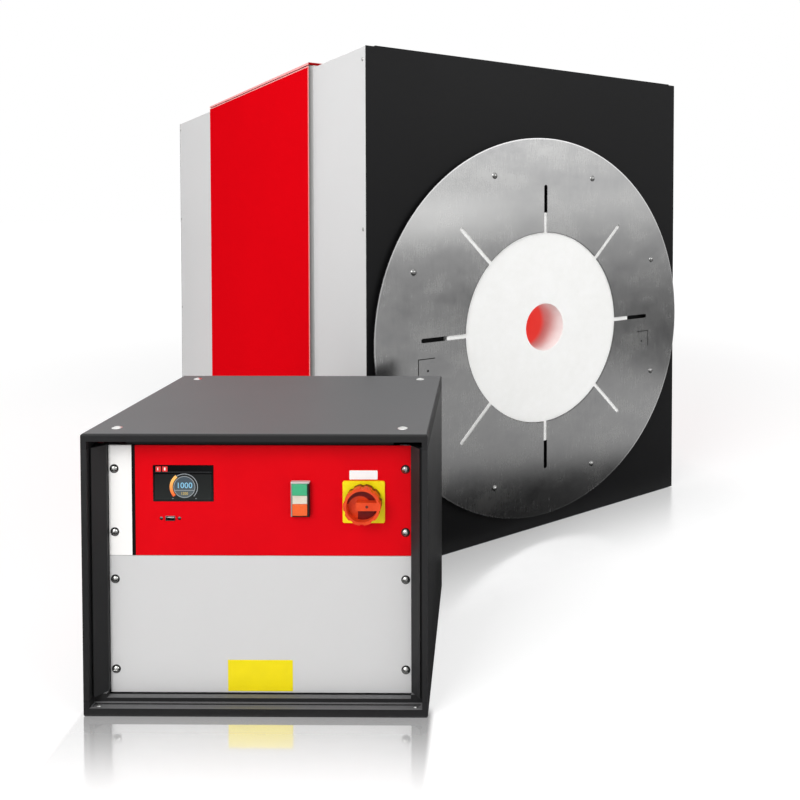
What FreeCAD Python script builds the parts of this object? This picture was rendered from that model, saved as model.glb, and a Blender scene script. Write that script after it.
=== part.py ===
import FreeCAD, Part

import math
import os
import re

import Sketcher
from FreeCAD import Placement, Rotation, Vector

# Horizontal tube furnace with its separate control unit, in millimetres.
# The furnace stands on the floor, centred on the origin, with its tube along Y and its front face towards -Y.
# The control unit stands in front of the furnace's left corner, turned about Z.

doc = FreeCAD.newDocument("tube_furnace")
sheet = doc.addObject("Spreadsheet::Sheet", "sizes")
workings = doc.addObject("Spreadsheet::Sheet", "workings")

SIZES = (
    # Furnace casing
    ("case_width", 950, "casing across the front, without the red covers"),
    ("case_height", 1140, "casing from the floor to the roof"),
    ("case_length", 1785, "casing along the tube, between the end panels' faces"),
    ("tube_axis", 502, "height of the tube's axis"),
    ("front_band", 300, "grey band at the front end"),
    ("rear_band", 535, "grey band at the rear end"),
    ("side_sheet", 1.5, "sheet of the side, roof and cover trays"),
    ("tray_depth", 12, "depth of the folded trays"),
    ("tray_overlap", 15, "how far a grey tray runs under a red cover"),
    ("cover_proud", 12, "red covers stand this far out of the grey trays"),
    ("cover_base", 20, "bottom edge of the red side covers"),
    ("cover_lip", 6, "folded side lip of the red roof cover"),
    ("cover_joint", 2, "gap between side cover and roof cover"),
    ("panel_foot", 2, "gap under the casing sheets"),
    ("end_sheet", 2, "sheet of the black end panels"),
    ("end_flange", 25, "top and bottom flange of the black end panels"),
    ("end_notch", 22, "notch at each top corner of an end panel"),
    ("fold_round", 2, "outer radius of the folded covers' edges"),
    ("screw_edge", 16, "casing screws, from the end panels' faces"),
    ("screw_top", 27, "top casing screws, below the roof"),
    ("screw_foot", 25, "height of the lowest casing screws"),
    ("screw_inner", 25, "inner casing screws, from the red covers' rear edges"),
    ("screw_shank", 2.5, "radius of the casing screws"),
    ("screw_length", 16, "shank of the casing screws"),
    ("screw_head", 4.5, "head radius of the casing screws"),
    ("screw_crown", 2.2, "head height of the casing screws"),
    ("vent_length", 340, "ventilation slot in the roof cover"),
    ("vent_width", 9, "ventilation slot in the roof cover"),
    ("vent_pitch", 90, "distance between ventilation slots"),
    ("vent_count", 9, "ventilation slots along the roof cover"),
    # Frame
    ("base_tube", 50, "square tube of the base frame"),
    ("frame_tube", 40, "square tube of the uprights and top rails"),
    ("post_gap", 5, "middle posts, from the red covers' edges"),
    ("tube_wall", 3, "wall of the frame tubes"),
    ("pedestal_x", 200, "hot box pedestals, from the centre line"),
    ("pedestal_y", 400, "hot box pedestals, from the middle"),
    # End disc
    ("disc_radius", 465, "stainless end disc"),
    ("disc_sheet", 3, "thickness of the end disc"),
    ("disc_stand_off", 13, "spacers between end panel and disc"),
    ("disc_hole", 234, "radius of the hole in the disc"),
    ("slot_reach", 351, "radius where the expansion slots end"),
    ("slot_width", 10, "width of the expansion slots"),
    ("bolt_circle", 400, "radius of the circle of disc bolts"),
    ("bolt_radius", 4, "shank of the disc bolts"),
    ("bolt_head", 7.5, "head radius of the disc bolts"),
    ("bolt_crown", 4.4, "head height of the disc bolts"),
    ("bolt_length", 34, "shank of the disc bolts"),
    ("spacer_radius", 10, "outer radius of the spacers"),
    ("hole_play", 0.3, "radial play of bolts and bushes"),
    ("slit_x", 359, "corner of the L-shaped slits, from the centre line"),
    ("slit_drop", 40, "corner of the L-shaped slits, below the axis"),
    ("slit_length", 43, "arms of the L-shaped slits"),
    ("slit_width", 2, "width of the L-shaped slits"),
    ("pin_hole_x", 334, "small hole beside each slit, from the centre line"),
    ("pin_hole_drop", 68, "small hole beside each slit, below the axis"),
    ("pin_hole", 2.5, "radius of the small hole"),
    # Hot box
    ("block_width", 565, "square section of the insulation"),
    ("block_play", 1.5, "gap round the insulation in the end panel"),
    ("hot_sheet", 2, "sheet of the hot box case"),
    ("hot_slot_edge", 6, "edges of the slots under the holders, from the holders' sides"),
    ("hot_slot_play", 2, "ends of the slots, beyond the outermost elements"),
    ("bore_radius", 58.5, "bore for the work tube"),
    ("end_board", 83, "thickness of the outer end board"),
    ("chamber_length", 900, "heated chamber along the tube"),
    ("chamber_width", 270, "heated chamber across"),
    ("chamber_height", 330, "heated chamber, floor to roof"),
    # Heating elements
    ("row_offset", 100, "element rows, from the centre line"),
    ("element_pitch", 130, "distance between elements in a row"),
    ("element_count", 7, "elements in each row"),
    ("leg_spacing", 60, "distance between the two legs of an element"),
    ("leg_radius", 4.5, "hot zone of an element"),
    ("terminal_radius", 9, "cold end of an element"),
    ("bend_height", 370, "lowest point of an element's centre line"),
    ("hot_zone_top", 640, "height where the hot zone widens"),
    ("terminal_top", 900, "height of the elements' upper ends"),
    ("holder_width", 40, "ceramic holder across the row"),
    ("holder_length", 96, "ceramic holder along the row"),
    ("holder_height", 20, "height of a ceramic holder"),
    ("clamp_radius", 14, "outer radius of the strap clamps"),
    ("clamp_height", 20, "height of the strap clamps"),
    ("strap_sheet", 3, "thickness of the connecting straps"),
    ("strap_width", 16, "width of the connecting straps"),
    ("taper_length", 15, "taper between hot zone and cold end"),
    ("supply_y", 520, "place of the supply terminals"),
    ("pillar_radius", 18, "insulating pillars of the supply terminals"),
    ("pillar_base", 10, "plate under the insulating pillars"),
    ("strap_root", 2, "how far a bar runs into its clamp"),
    ("sheath_radius", 4, "thermocouple sheath"),
    ("sheath_tip", 576, "height of the thermocouples' tips"),
    ("sensor_spacing", 70, "distance between the two thermocouples"),
    ("collar_radius", 14, "thermocouple collar"),
    ("collar_height", 12, "thermocouple collar"),
    ("neck_radius", 7, "thermocouple neck"),
    ("neck_height", 26, "thermocouple neck"),
    ("head_radius", 28, "thermocouple head"),
    ("head_height", 34, "thermocouple head"),
    ("lid_slope", 6, "sloping edge of the thermocouple head's lid"),
    ("lid_height", 8, "thermocouple head's lid"),
    ("gland_radius", 16, "thread of the cable glands"),
    ("gland_thread", 16, "thread behind the wall"),
    ("gland_collar", 8, "hexagon in front of the wall"),
    ("gland_nut", 14, "round nut of a cable gland"),
    ("gland_dome", 6, "tapered end of a cable gland"),
    ("gland_lock", 6, "lock nut behind the wall"),
    ("gland_x", 380, "furnace glands, from the centre line"),
    ("gland_z", 110, "height of the furnace glands"),
    # Control unit
    ("unit_x", -1031, "front left corner of the control unit"),
    ("unit_y", -1040, "front left corner of the control unit"),
    ("unit_turn", 34, "control unit's turn about Z, clockwise, in degrees"),
    ("unit_width", 540, "control unit across the front"),
    ("unit_depth", 400, "control unit front to back"),
    ("unit_height", 446, "height of the control unit"),
    ("shell_sheet", 2, "sheet of the control unit's covers"),
    ("base_rail", 25, "height of the base tray's sides"),
    ("cap_height", 25, "height of the top cover's sides"),
    ("lip_height", 12.5, "front lip of base tray and top cover"),
    ("lip_depth", 9, "front lip of the top cover, and nose of the side profiles"),
    ("rail_depth", 26, "solid front part of base tray and top cover"),
    ("step_depth", 17, "flat top of the lower front lip"),
    ("step_height", 18.5, "step behind the lower front lip"),
    ("groove_depth", 2, "groove in the lower front lip"),
    ("groove_end", 12, "groove's ends, from the ends of the lip"),
    ("seal_depth", 18, "strip under the top cover, behind the upper panel"),
    ("cap_round", 4, "rounding of the top cover"),
    ("base_round", 3, "rounding of the base tray's lower side edges"),
    ("cover_screw", 3, "shank of the screws in the top cover"),
    ("cover_screw_length", 12, "shank of the screws in the top cover"),
    ("cover_screw_head", 8, "head radius of the screws in the top cover"),
    ("cover_screw_crown", 2.2, "head height of the screws in the top cover"),
    ("cover_screw_side", 42, "screws in the top cover, from its sides"),
    ("cover_screw_end", 32, "screws in the top cover, from its front and back"),
    ("lip_screw", 2, "shank of the screws in the lower front lip"),
    ("lip_screw_length", 5, "shank of the screws in the lower front lip"),
    ("lip_screw_head", 3.4, "head radius of the screws in the lower front lip"),
    ("lip_screw_crown", 1.8, "head height of the screws in the lower front lip"),
    ("lip_screw_side", 19.5, "screws in the lower front lip, from its ends"),
    ("lip_screw_front", 8.5, "screws in the lower front lip, from the front"),
    ("panel_recess", 30, "rack panels stand back from the front"),
    ("panel_sheet", 3, "thickness of the rack panels"),
    ("panel_width", 482.6, "rack panel"),
    ("upper_panel", 177, "red rack panel, four units high"),
    ("lower_panel", 221.5, "grey rack panel, five units high"),
    ("panel_seat", 19.2, "bottom edge of the lower rack panel"),
    ("panel_gap", 0.8, "gap between the rack panels"),
    ("side_wall", 2.5, "wall of the side profiles"),
    ("nose_depth", 12, "front nose of the side profiles"),
    ("channel_width", 4, "channel beside the nose"),
    ("channel_floor", 7, "front end of the sloping face beside the channel"),
    ("stile_depth", 24, "rear end of the sloping face"),
    ("side_play", 0.5, "gap between rack panels and side profiles"),
    ("rack_span", 465.1, "rack holes across"),
    ("upper_span", 101.6, "rack holes of the upper panel, up"),
    ("lower_span", 146.05, "rack holes of the lower panel, up"),
    ("rack_hole", 3.4, "radius of the rack holes"),
    ("rack_sheet", 2.5, "sheet of the rack angles"),
    ("rack_flange", 43.5, "rack angles across"),
    ("rack_web", 30, "rack angles front to back"),
    ("rack_screw", 3, "shank of the panel screws"),
    ("rack_screw_length", 16, "shank of the panel screws"),
    ("rack_screw_head", 5.4, "head radius of the panel screws"),
    ("rack_screw_crown", 2.8, "head height of the panel screws"),
    ("driver_slot", 1.2, "slot in the panel screws, wide and deep"),
    ("slot_step", 37, "how the slots of neighbouring panel screws differ, in degrees"),
    ("washer_radius", 7.2, "cup washer of the panel screws"),
    ("washer_height", 1.5, "cup washer of the panel screws"),
    ("washer_slope", 1, "sloping edge of the cup washer"),
    # Controls on the red panel: places from its left and top edges
    ("screen_left", 71, "display"),
    ("screen_top", 32, "display"),
    ("screen_width", 96.5, "display"),
    ("screen_height", 58, "display"),
    ("screen_proud", 0.6, "display glass out of the panel"),
    ("screen_round", 1, "rounded corners of the display glass"),
    ("module_rim", 6, "display module, beyond the glass"),
    ("module_depth", 32, "display module, front to back"),
    ("plug_left", 18, "plug strip on the display module, from the glass's left edge"),
    ("plug_width", 60, "plug strip on the display module"),
    ("plug_depth", 8, "plug strip on the display module"),
    ("plug_height", 14, "plug strip on the display module"),
    ("port_middle", 98, "data socket"),
    ("port_drop", 117.5, "data socket"),
    ("port_width", 15, "shell of the data socket"),
    ("port_height", 7.2, "shell of the data socket"),
    ("port_wall", 0.9, "wall of the data socket"),
    ("port_depth", 14, "depth of the data socket"),
    ("port_screws", 29, "distance between the data socket's screws"),
    ("port_proud", 1, "data socket out of the panel"),
    ("port_back", 2, "closed rear end of the data socket, and its tongue's set-back"),
    ("tongue_play", 1, "tongue in the data socket, from the side walls"),
    ("tongue_sheet", 1.8, "tongue in the data socket"),
    ("tongue_drop", 0.6, "tongue in the data socket, below the upper wall"),
    ("bracket_sheet", 3, "bracket behind the data socket"),
    ("bracket_side", 4, "bracket, beyond its screws"),
    ("bracket_edge", 2, "bracket, above and below the socket"),
    ("port_screw", 1.5, "shank of the data socket's screws"),
    ("port_screw_head", 2.8, "head radius of the data socket's screws"),
    ("port_screw_crown", 1.4, "head height of the data socket's screws"),
    ("port_screw_length", 8, "shank of the data socket's screws"),
    ("fit_play", 0.3, "gap round a control in its cut-out"),
    ("key_middle", 307.2, "double push-button"),
    ("key_drop", 84, "double push-button"),
    ("key_width", 29.4, "push-button housing"),
    ("key_height", 55.8, "push-button housing"),
    ("key_proud", 8, "push-button housing out of the panel"),
    ("key_rim", 2.6, "rim of the push-button housing"),
    ("key_round", 1.5, "rounded front edges of the push-button housing"),
    ("switch_block", 42, "contact block behind the push-button"),
    ("switch_edge", 2, "contact block, from the housing's upper and lower edges"),
    ("cap_width", 23.6, "button caps"),
    ("start_height", 18.3, "start button"),
    ("lamp_height", 13.4, "lamp between the buttons"),
    ("stop_height", 18.3, "stop button"),
    ("cap_length", 6, "button caps, front to back"),
    ("cap_proud", 1.6, "button caps out of the housing"),
    ("cap_edge", 0.8, "rounded edges of caps and lens"),
    ("lens_proud", 0.8, "lens out of the housing"),
    ("key_travel", 3, "travel of the buttons"),
    ("key_room", 2.1, "gap behind a button that is pressed in"),
    ("knob_middle", 407.6, "main isolator"),
    ("knob_drop", 89.5, "main isolator"),
    ("plate_width", 67, "isolator's front plate"),
    ("plate_sheet", 3, "isolator's front plate"),
    ("plate_round", 3, "rounded corners of the isolator's front plate"),
    ("knob_radius", 29.5, "isolator's rotary handle"),
    ("knob_height", 19, "isolator's rotary handle"),
    ("knob_rim", 5, "rim of the rotary handle"),
    ("knob_dish", 12, "depth of the dish in the rotary handle"),
    ("grip_width", 13, "grip bar of the rotary handle"),
    ("grip_start", 9, "grip bar's end, beyond the axis"),
    ("scallop_radius", 5, "finger scallops in the rim"),
    ("scallop_out", 3.1, "centres of the scallops, beyond the rim"),
    ("scallop_count", 10, "finger scallops in the rim"),
    ("shaft_radius", 4, "isolator shaft"),
    ("shaft_room", 4, "gap round the isolator shaft in the panel"),
    ("shaft_length", 40, "isolator shaft, behind the handle"),
    ("shaft_play", 0.05, "running play of shaft and fan spindle"),
    ("switch_width", 58, "isolator switch body"),
    ("switch_depth", 54, "isolator switch body"),
    ("switch_step", 10, "step at the top and bottom of the isolator switch body"),
    # Inside and behind
    ("unit_gland_left", 70, "first gland of the control unit"),
    ("unit_gland_pitch", 60, "distance between the control unit's glands"),
    ("unit_gland_count", 3, "glands of the control unit"),
    ("unit_gland_z", 90, "height of the control unit's glands"),
    ("guard_width", 8, "slots of the fan guard"),
    ("guard_pitch", 15, "distance between the slots of the fan guard"),
    ("guard_edge", 4, "slots of the fan guard, inside the duct's edge"),
    ("guard_count", 7, "slots of the fan guard"),
    ("inlet_left", 70, "air inlet slots"),
    ("inlet_top", 90, "uppermost air inlet slot, below the unit's top"),
    ("inlet_length", 120, "air inlet slots"),
    ("inlet_width", 5, "air inlet slots"),
    ("inlet_pitch", 14, "distance between the air inlet slots"),
    ("inlet_count", 8, "air inlet slots"),
    ("fan_width", 120, "cooling fan"),
    ("fan_depth", 38, "cooling fan"),
    ("fan_radius", 57, "cooling fan's duct"),
    ("fan_left", 420, "cooling fan's axis"),
    ("fan_height", 130, "cooling fan's axis"),
    ("hub_radius", 25, "fan rotor's hub"),
    ("hub_depth", 20, "fan rotor's hub"),
    ("hub_end", 3, "closed end of the fan rotor's hub"),
    ("hub_gap", 1, "gap between the boss and the hub"),
    ("boss_depth", 6, "boss of the fan frame"),
    ("blade_count", 5, "fan rotor's blades"),
    ("blade_play", 1.5, "gap between blades and duct"),
    ("blade_sheet", 2, "fan rotor's blades"),
    ("blade_chord", 26, "fan rotor's blades"),
    ("blade_root", 3, "how far a blade runs into the hub"),
    ("blade_pitch", 38, "fan rotor's blades, in degrees"),
    ("spindle_radius", 3, "fan spindle"),
    ("spindle_length", 16, "fan spindle, beyond the boss"),
    ("spoke_width", 7, "fan frame's spokes"),
    ("spoke_depth", 4, "fan frame's spokes"),
    ("spoke_root", 1, "how far a spoke runs into the fan frame"),
    ("fin_count", 9, "heat sink fins"),
    ("fin_pitch", 13, "heat sink fins"),
    ("fin_sheet", 3, "heat sink fins"),
    ("fin_height", 60, "heat sink fins"),
    ("sink_base", 12, "heat sink's base plate"),
    ("sink_length", 150, "height of the heat sink"),
    ("sink_left", 355, "heat sink"),
    ("sink_room", 58, "gap between the heat sink's fins and the fan"),
    ("thyristor_edge", 6, "thyristor modules, from the heat sink's left edge"),
    ("thyristor_width", 94, "thyristor module"),
    ("thyristor_depth", 30, "thyristor module"),
    ("thyristor_height", 34, "thyristor module"),
    ("thyristor_low", 30, "lower thyristor module, above the floor sheet"),
    ("thyristor_pitch", 60, "distance between the thyristor modules"),
    ("core_left", 150, "transformer core"),
    ("core_front", 200, "transformer core"),
    ("core_width", 120, "transformer core"),
    ("core_depth", 60, "transformer core"),
    ("core_height", 100, "transformer core"),
    ("core_leg", 20, "outer legs and yokes of the transformer core"),
    ("coil_depth", 100, "transformer coil, front to back"),
    ("coil_play", 1, "gap between coil and yokes"),
    ("leg_play", 0.5, "gap between coil and middle leg"),
    ("contactor_left", 60, "contactor"),
    ("contactor_back", 220, "contactor's base"),
    ("contactor_width", 60, "contactor"),
    ("contactor_base", 50, "contactor's base, front to back"),
    ("contactor_height", 90, "contactor"),
    ("contactor_nose", 30, "contactor's front part, front to back"),
    ("contactor_step", 17, "contactor's front part, from its upper and lower ends"),
)

v = {}
for row, (name, value, note) in enumerate(SIZES, start=1):
    sheet.set("A%d" % row, name)
    sheet.set("B%d" % row, str(value))
    sheet.setAlias("B%d" % row, name)
    sheet.set("C%d" % row, note)
    v[name] = value
doc.recompute()

ALONG = {
    "X": Rotation(Vector(0, 1, 0), 90),
    "Y": Rotation(Vector(1, 0, 0), -90),
    "Z": Rotation(),
}
HALF_TURN = Rotation(Vector(0, 0, 1), 180)
UNIT = Placement(Vector(v["unit_x"], v["unit_y"], 0), Rotation(Vector(0, 0, 1), -v["unit_turn"]))
NODES = []


def rule(text):
    """An expression in which each size's plain name points to its cell."""
    return re.sub(r"[a-z_]+", lambda m: "sizes." + m.group(0) if m.group(0) in v else m.group(0), str(text))


def number(text):
    """What a rule comes to, worked out in a spreadsheet cell of its own."""
    workings.set("A1", "=" + rule(text))
    workings.recompute()
    return float(workings.get("A1"))


def bind(feature, **rules):
    """Tie properties of a feature to the spreadsheet."""
    for name, text in rules.items():
        feature.setExpression(name, rule(text))


def place(feature, x, y, z, rotation=Rotation()):
    """Set a feature's rotation, and tie its position to the spreadsheet."""
    feature.Placement = Placement(Vector(0, 0, 0), rotation)
    for axis, text in zip("xyz", (x, y, z)):
        feature.setExpression(".Placement.Base." + axis, rule(text))


def box(name, size, at):
    """A block from its three sizes and its lowest corner."""
    block = doc.addObject("Part::Box", name)
    bind(block, Length=size[0], Width=size[1], Height=size[2])
    place(block, *at)
    return block


def rod(name, radius, length, at, along="Z"):
    """A cylinder from its radius, its length and the centre of its first end."""
    cylinder = doc.addObject("Part::Cylinder", name)
    bind(cylinder, Radius=radius, Height=length)
    place(cylinder, *at, rotation=ALONG[along])
    return cylinder


def group(name, pieces):
    """Several solids in one node."""
    compound = doc.addObject("Part::Compound", name)
    compound.Links = pieces
    return compound


def fuse(name, pieces):
    """Solids joined to one."""
    joined = doc.addObject("Part::MultiFuse", name)
    joined.Shapes = pieces
    joined.Refine = True
    return joined


def cut(name, base, tools):
    """A solid less one or more tools."""
    less = doc.addObject("Part::Cut", name)
    less.Base = base
    less.Tool = tools[0] if len(tools) == 1 else group(name + "_tools", tools)
    return less


def rounded(name, base, radius, choose):
    """Round the edges that choose picks."""
    doc.recompute()
    fillet = doc.addObject("Part::Fillet", name)
    fillet.Base = base
    fillet.Edges = [(i, radius, radius) for i, edge in enumerate(base.Shape.Edges, start=1) if choose(edge)]
    return fillet


def copies(name, master, places):
    """Copies of one shape at several places, as separate solids in one node."""
    feature = doc.addObject("Part::Feature", name)
    solids = []
    for spot in places:
        copy = master.copy()
        copy.Placement = spot.multiply(copy.Placement)
        solids.append(copy)
    feature.Shape = Part.makeCompound(solids)
    return feature


def node(label, feature, placement=None):
    """Name a finished sub-part, and put it where it belongs."""
    feature.Label = label
    if placement is not None:
        feature.Placement = placement
    NODES.append(feature)
    return feature


def new_sketch(body, name, role):
    """An empty sketch on one of its body's own planes."""
    sketch = body.newObject("Sketcher::SketchObject", name)
    plane = [item for item in body.Origin.OriginFeatures if item.Role == role][0]
    sketch.AttachmentSupport = [(plane, "")]
    sketch.MapMode = "FlatFace"
    return sketch


def outline(sketch, points):
    """A closed polygon whose corners are tied to the spreadsheet."""
    first = sketch.GeometryCount
    spots = [(number(x), number(y)) for x, y in points]
    total = len(points)
    for i in range(total):
        start, end = spots[i], spots[(i + 1) % total]
        sketch.addGeometry(Part.LineSegment(Vector(*start, 0), Vector(*end, 0)), False)
    for i in range(total):
        sketch.addConstraint(Sketcher.Constraint("Coincident", first + i, 2, first + (i + 1) % total, 1))
    for i, (corner, spot) in enumerate(zip(points, spots)):
        for kind, axis, text, value in (
            ("DistanceX", -2, corner[0], spot[0]),
            ("DistanceY", -1, corner[1], spot[1]),
        ):
            if abs(value) < 1e-9:
                sketch.addConstraint(Sketcher.Constraint("PointOnObject", first + i, 1, axis))
            else:
                index = sketch.addConstraint(Sketcher.Constraint(kind, -1, 1, first + i, 1, value))
                sketch.setExpression("Constraints[%d]" % index, rule(text))


def circle(sketch, x, y, radius):
    """A circle whose radius and centre are tied to the spreadsheet."""
    spot = (number(x), number(y))
    index = sketch.addGeometry(Part.Circle(Vector(*spot, 0), Vector(0, 0, 1), number(radius)), False)
    size = sketch.addConstraint(Sketcher.Constraint("Radius", index, number(radius)))
    sketch.setExpression("Constraints[%d]" % size, rule(radius))
    for kind, axis, text, value in (("DistanceX", -2, x, spot[0]), ("DistanceY", -1, y, spot[1])):
        if abs(value) < 1e-9:
            sketch.addConstraint(Sketcher.Constraint("PointOnObject", index, 3, axis))
        else:
            tie = sketch.addConstraint(Sketcher.Constraint(kind, -1, 1, index, 3, value))
            sketch.setExpression("Constraints[%d]" % tie, rule(text))


def pad(body, name, profile, length, back=False):
    """Material along the sketch's normal, or against it."""
    feature = body.newObject("PartDesign::Pad", name)
    feature.Profile = profile
    feature.Reversed = back
    bind(feature, Length=length)
    doc.recompute()
    return feature


def pocket(body, name, profile, depth, back=True):
    """A cut into the material that a pad made, which has to take something away."""
    before = body.Shape.Volume
    feature = body.newObject("PartDesign::Pocket", name)
    feature.Profile = profile
    feature.Reversed = back
    bind(feature, Length=depth)
    doc.recompute()
    if body.Shape.Volume > before - 1e-6:
        raise RuntimeError(name + " cuts nothing")
    return feature


def around(body, name, features, profile, count):
    """Repeat features round the profile's normal."""
    pattern = body.newObject("PartDesign::PolarPattern", name)
    pattern.Originals = features
    pattern.Axis = (profile, ["N_Axis"])
    pattern.Angle = 360
    pattern.Occurrences = count
    body.Tip = pattern
    doc.recompute()
    return pattern


def body_of(name):
    return doc.addObject("PartDesign::Body", name)


def tray(name, size, at, axis, toward):
    """A folded tray with rounded folds: a sheet with a return along each edge, open towards +axis or -axis."""
    outer = box(name + "_blank", size, at)
    doc.recompute()
    limits = outer.Shape.BoundBox
    low, high = ((limits.XMin, limits.XMax), (limits.YMin, limits.YMax), (limits.ZMin, limits.ZMax))[axis]
    face = low if toward > 0 else high

    def on_face(edge):
        return all(abs(vertex.Point[axis] - face) < 1e-6 for vertex in edge.Vertexes)

    folded = rounded(name + "_folds", outer, v["fold_round"], on_face)
    inner_size = ["%s - 2 * side_sheet" % text for text in size]
    inner_at = ["%s + side_sheet" % text for text in at]
    inner_size[axis] = size[axis]
    inner_at[axis] = "%s %s side_sheet" % (at[axis], "+" if toward > 0 else "-")
    return cut(name + "_folded", folded, [box(name + "_inside", inner_size, inner_at)])


def square_tube(name, along, length, side, at):
    """A hollow square tube along X, Y or Z."""
    size = [side, side, side]
    bore = ["%s - 2 * tube_wall" % side] * 3
    bore_at = ["%s + tube_wall" % text for text in at]
    axis = "XYZ".index(along)
    size[axis] = bore[axis] = length
    bore_at[axis] = at[axis]
    return cut(name, box(name + "_outer", size, at), [box(name + "_bore", bore, bore_at)])


# Screws that hold the grey side trays to the frame

def screw_rows():
    """Heights of the casing screws, from the top down, evenly spaced."""
    reach = "(case_height - screw_top - screw_foot)"
    return ["screw_foot + %s * %d / 3" % (reach, 3 - i) for i in range(4)]


def front_screws(heights):
    """Where casing screws go at the front end: along the tube and up."""
    return [("screw_edge - case_length / 2", height) for height in heights]


def rear_screws(heights):
    """Where casing screws go at the rear end."""
    return [("case_length / 2 - screw_edge", height) for height in heights]


def inner_screws():
    """The screw beside the red cover's rear edge."""
    return [("case_length / 2 - rear_band + screw_inner", screw_rows()[1])]


SIDE_HOLES = ("-case_width / 2", "case_width / 2 - screw_length")


def drilled(name, member, side, spots):
    """A frame member with the holes of its casing screws; side 0 is the left one, side 1 the right one."""
    if not spots:
        return member
    holes = [rod("%s_hole_%d" % (name, i), "screw_shank + hole_play", "screw_length",
                 (SIDE_HOLES[side], y, z), "X")
             for i, (y, z) in enumerate(spots)]
    return cut(name, member, holes)


# Furnace frame

def make_base_frame():
    """Side rails, cross members and the four pedestals that carry the hot box, welded where they meet."""
    inside = "case_width / 2 - tray_depth"
    foot = screw_rows()[3:]
    rails = []
    for i, x in enumerate(("-(%s)" % inside, "%s - base_tube" % inside)):
        tube = square_tube("base_rail_%d" % i, "Y", "case_length - 2 * end_sheet", "base_tube",
                           (x, "end_sheet - case_length / 2", "0"))
        rails.append(drilled("base_rail_drilled_%d" % i, tube, i, front_screws(foot) + rear_screws(foot)))
    width = "2 * (%s - base_tube)" % inside
    left = "base_tube - (%s)" % inside
    middles = ("end_sheet - case_length / 2", "-pedestal_y - base_tube / 2", "-base_tube / 2",
               "pedestal_y - base_tube / 2", "case_length / 2 - end_sheet - base_tube")
    cross = [square_tube("base_cross_%d" % i, "X", width, "base_tube", (left, y, "0"))
             for i, y in enumerate(middles)]
    height = "tube_axis - block_width / 2 - hot_sheet - base_tube"
    posts = [square_tube("pedestal_%d_%d" % (i, j), "Z", height, "base_tube",
                         ("%s - base_tube / 2" % x, "%s - base_tube / 2" % y, "base_tube"))
             for i, x in enumerate(("-pedestal_x", "pedestal_x"))
             for j, y in enumerate(("-pedestal_y", "pedestal_y"))]
    return node("base_frame", group("base_frame", rails + cross + posts))


def make_upright_frame():
    """Eight posts and the rails that join their tops, welded where they meet."""
    inside = "case_width / 2 - tray_depth"
    top = "case_height - tray_depth"
    lefts = ("-(%s)" % inside, "%s - frame_tube" % inside)
    fronts = ("end_sheet - case_length / 2", "front_band - case_length / 2 - post_gap - frame_tube",
              "case_length / 2 - rear_band + post_gap", "case_length / 2 - end_sheet - frame_tube")
    rows = screw_rows()
    post_spots = (front_screws(rows[1:3]), [], inner_screws(), rear_screws(rows[1:3]))
    members = []
    for i, x in enumerate(lefts):
        for j, y in enumerate(fronts):
            post = square_tube("post_%d_%d" % (i, j), "Z", "%s - base_tube - frame_tube" % top, "frame_tube",
                               (x, y, "base_tube"))
            members.append(drilled("post_drilled_%d_%d" % (i, j), post, i, post_spots[j]))
        rail = square_tube("top_rail_%d" % i, "Y", "case_length - 2 * end_sheet", "frame_tube",
                           (x, fronts[0], "%s - frame_tube" % top))
        rail_spots = front_screws(rows[:1]) + rear_screws(rows[:1])
        members.append(drilled("top_rail_drilled_%d" % i, rail, i, rail_spots))
    members += [square_tube("top_cross_%d" % i, "X", "2 * (%s - frame_tube)" % inside, "frame_tube",
                            ("frame_tube - (%s)" % inside, y, "%s - frame_tube" % top))
                for i, y in enumerate(fronts)]
    return node("upright_frame", group("upright_frame", members))


# Furnace casing

def end_panel_screws():
    """Where the screws of an end panel's disc go, as angles in degrees."""
    return [22.5 + 45 * i for i in range(8)]


def make_end_panel(label, rear):
    """Black end panel with a top and a bottom flange, notched at its top corners, with a square cut-out."""
    body = body_of(label)
    face = new_sketch(body, label + "_face", "XZ_Plane")
    half, top = "case_width / 2", "case_height + end_sheet"
    outline(face, [
        ("-" + half, "panel_foot"), (half, "panel_foot"), (half, "case_height"),
        ("%s - end_notch" % half, "case_height"), ("%s - end_notch" % half, top),
        ("end_notch - %s" % half, top), ("end_notch - %s" % half, "case_height"), ("-" + half, "case_height"),
    ])
    pad(body, label + "_sheet", face, "end_sheet", back=True)
    upper = new_sketch(body, label + "_upper_edge", "XZ_Plane")
    outline(upper, [
        ("end_notch - %s" % half, "case_height"), ("%s - end_notch" % half, "case_height"),
        ("%s - end_notch" % half, top), ("end_notch - %s" % half, top),
    ])
    pad(body, label + "_upper_flange", upper, "end_flange", back=True)
    hole = new_sketch(body, label + "_cut_out", "XZ_Plane")
    reach = "block_width / 2 + block_play"
    outline(hole, [
        ("-(%s)" % reach, "tube_axis - (%s)" % reach), (reach, "tube_axis - (%s)" % reach),
        (reach, "tube_axis + %s" % reach), ("-(%s)" % reach, "tube_axis + %s" % reach),
    ])
    pocket(body, label + "_window", hole, "3 * end_sheet", back=False)
    bolts = new_sketch(body, label + "_bolt_holes", "XZ_Plane")
    for angle in end_panel_screws():
        x = v["bolt_circle"] * math.cos(math.radians(angle))
        z = v["tube_axis"] + v["bolt_circle"] * math.sin(math.radians(angle))
        circle(bolts, "%.6f" % x if x > 0 else "-%.6f" % -x, "%.6f" % z, "bolt_radius + hole_play")
    pocket(body, label + "_bolts", bolts, "3 * end_sheet", back=False)
    if rear:
        glands = new_sketch(body, label + "_gland_holes", "XZ_Plane")
        for x in ("-gland_x", "gland_x"):
            circle(glands, x, "gland_z", "gland_radius + hole_play")
        pocket(body, label + "_glands", glands, "3 * end_sheet", back=False)
    sign = "" if rear else "-"
    place(body, "0", sign + "case_length / 2", "0", HALF_TURN if rear else Rotation())
    return node(label, body)


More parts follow.
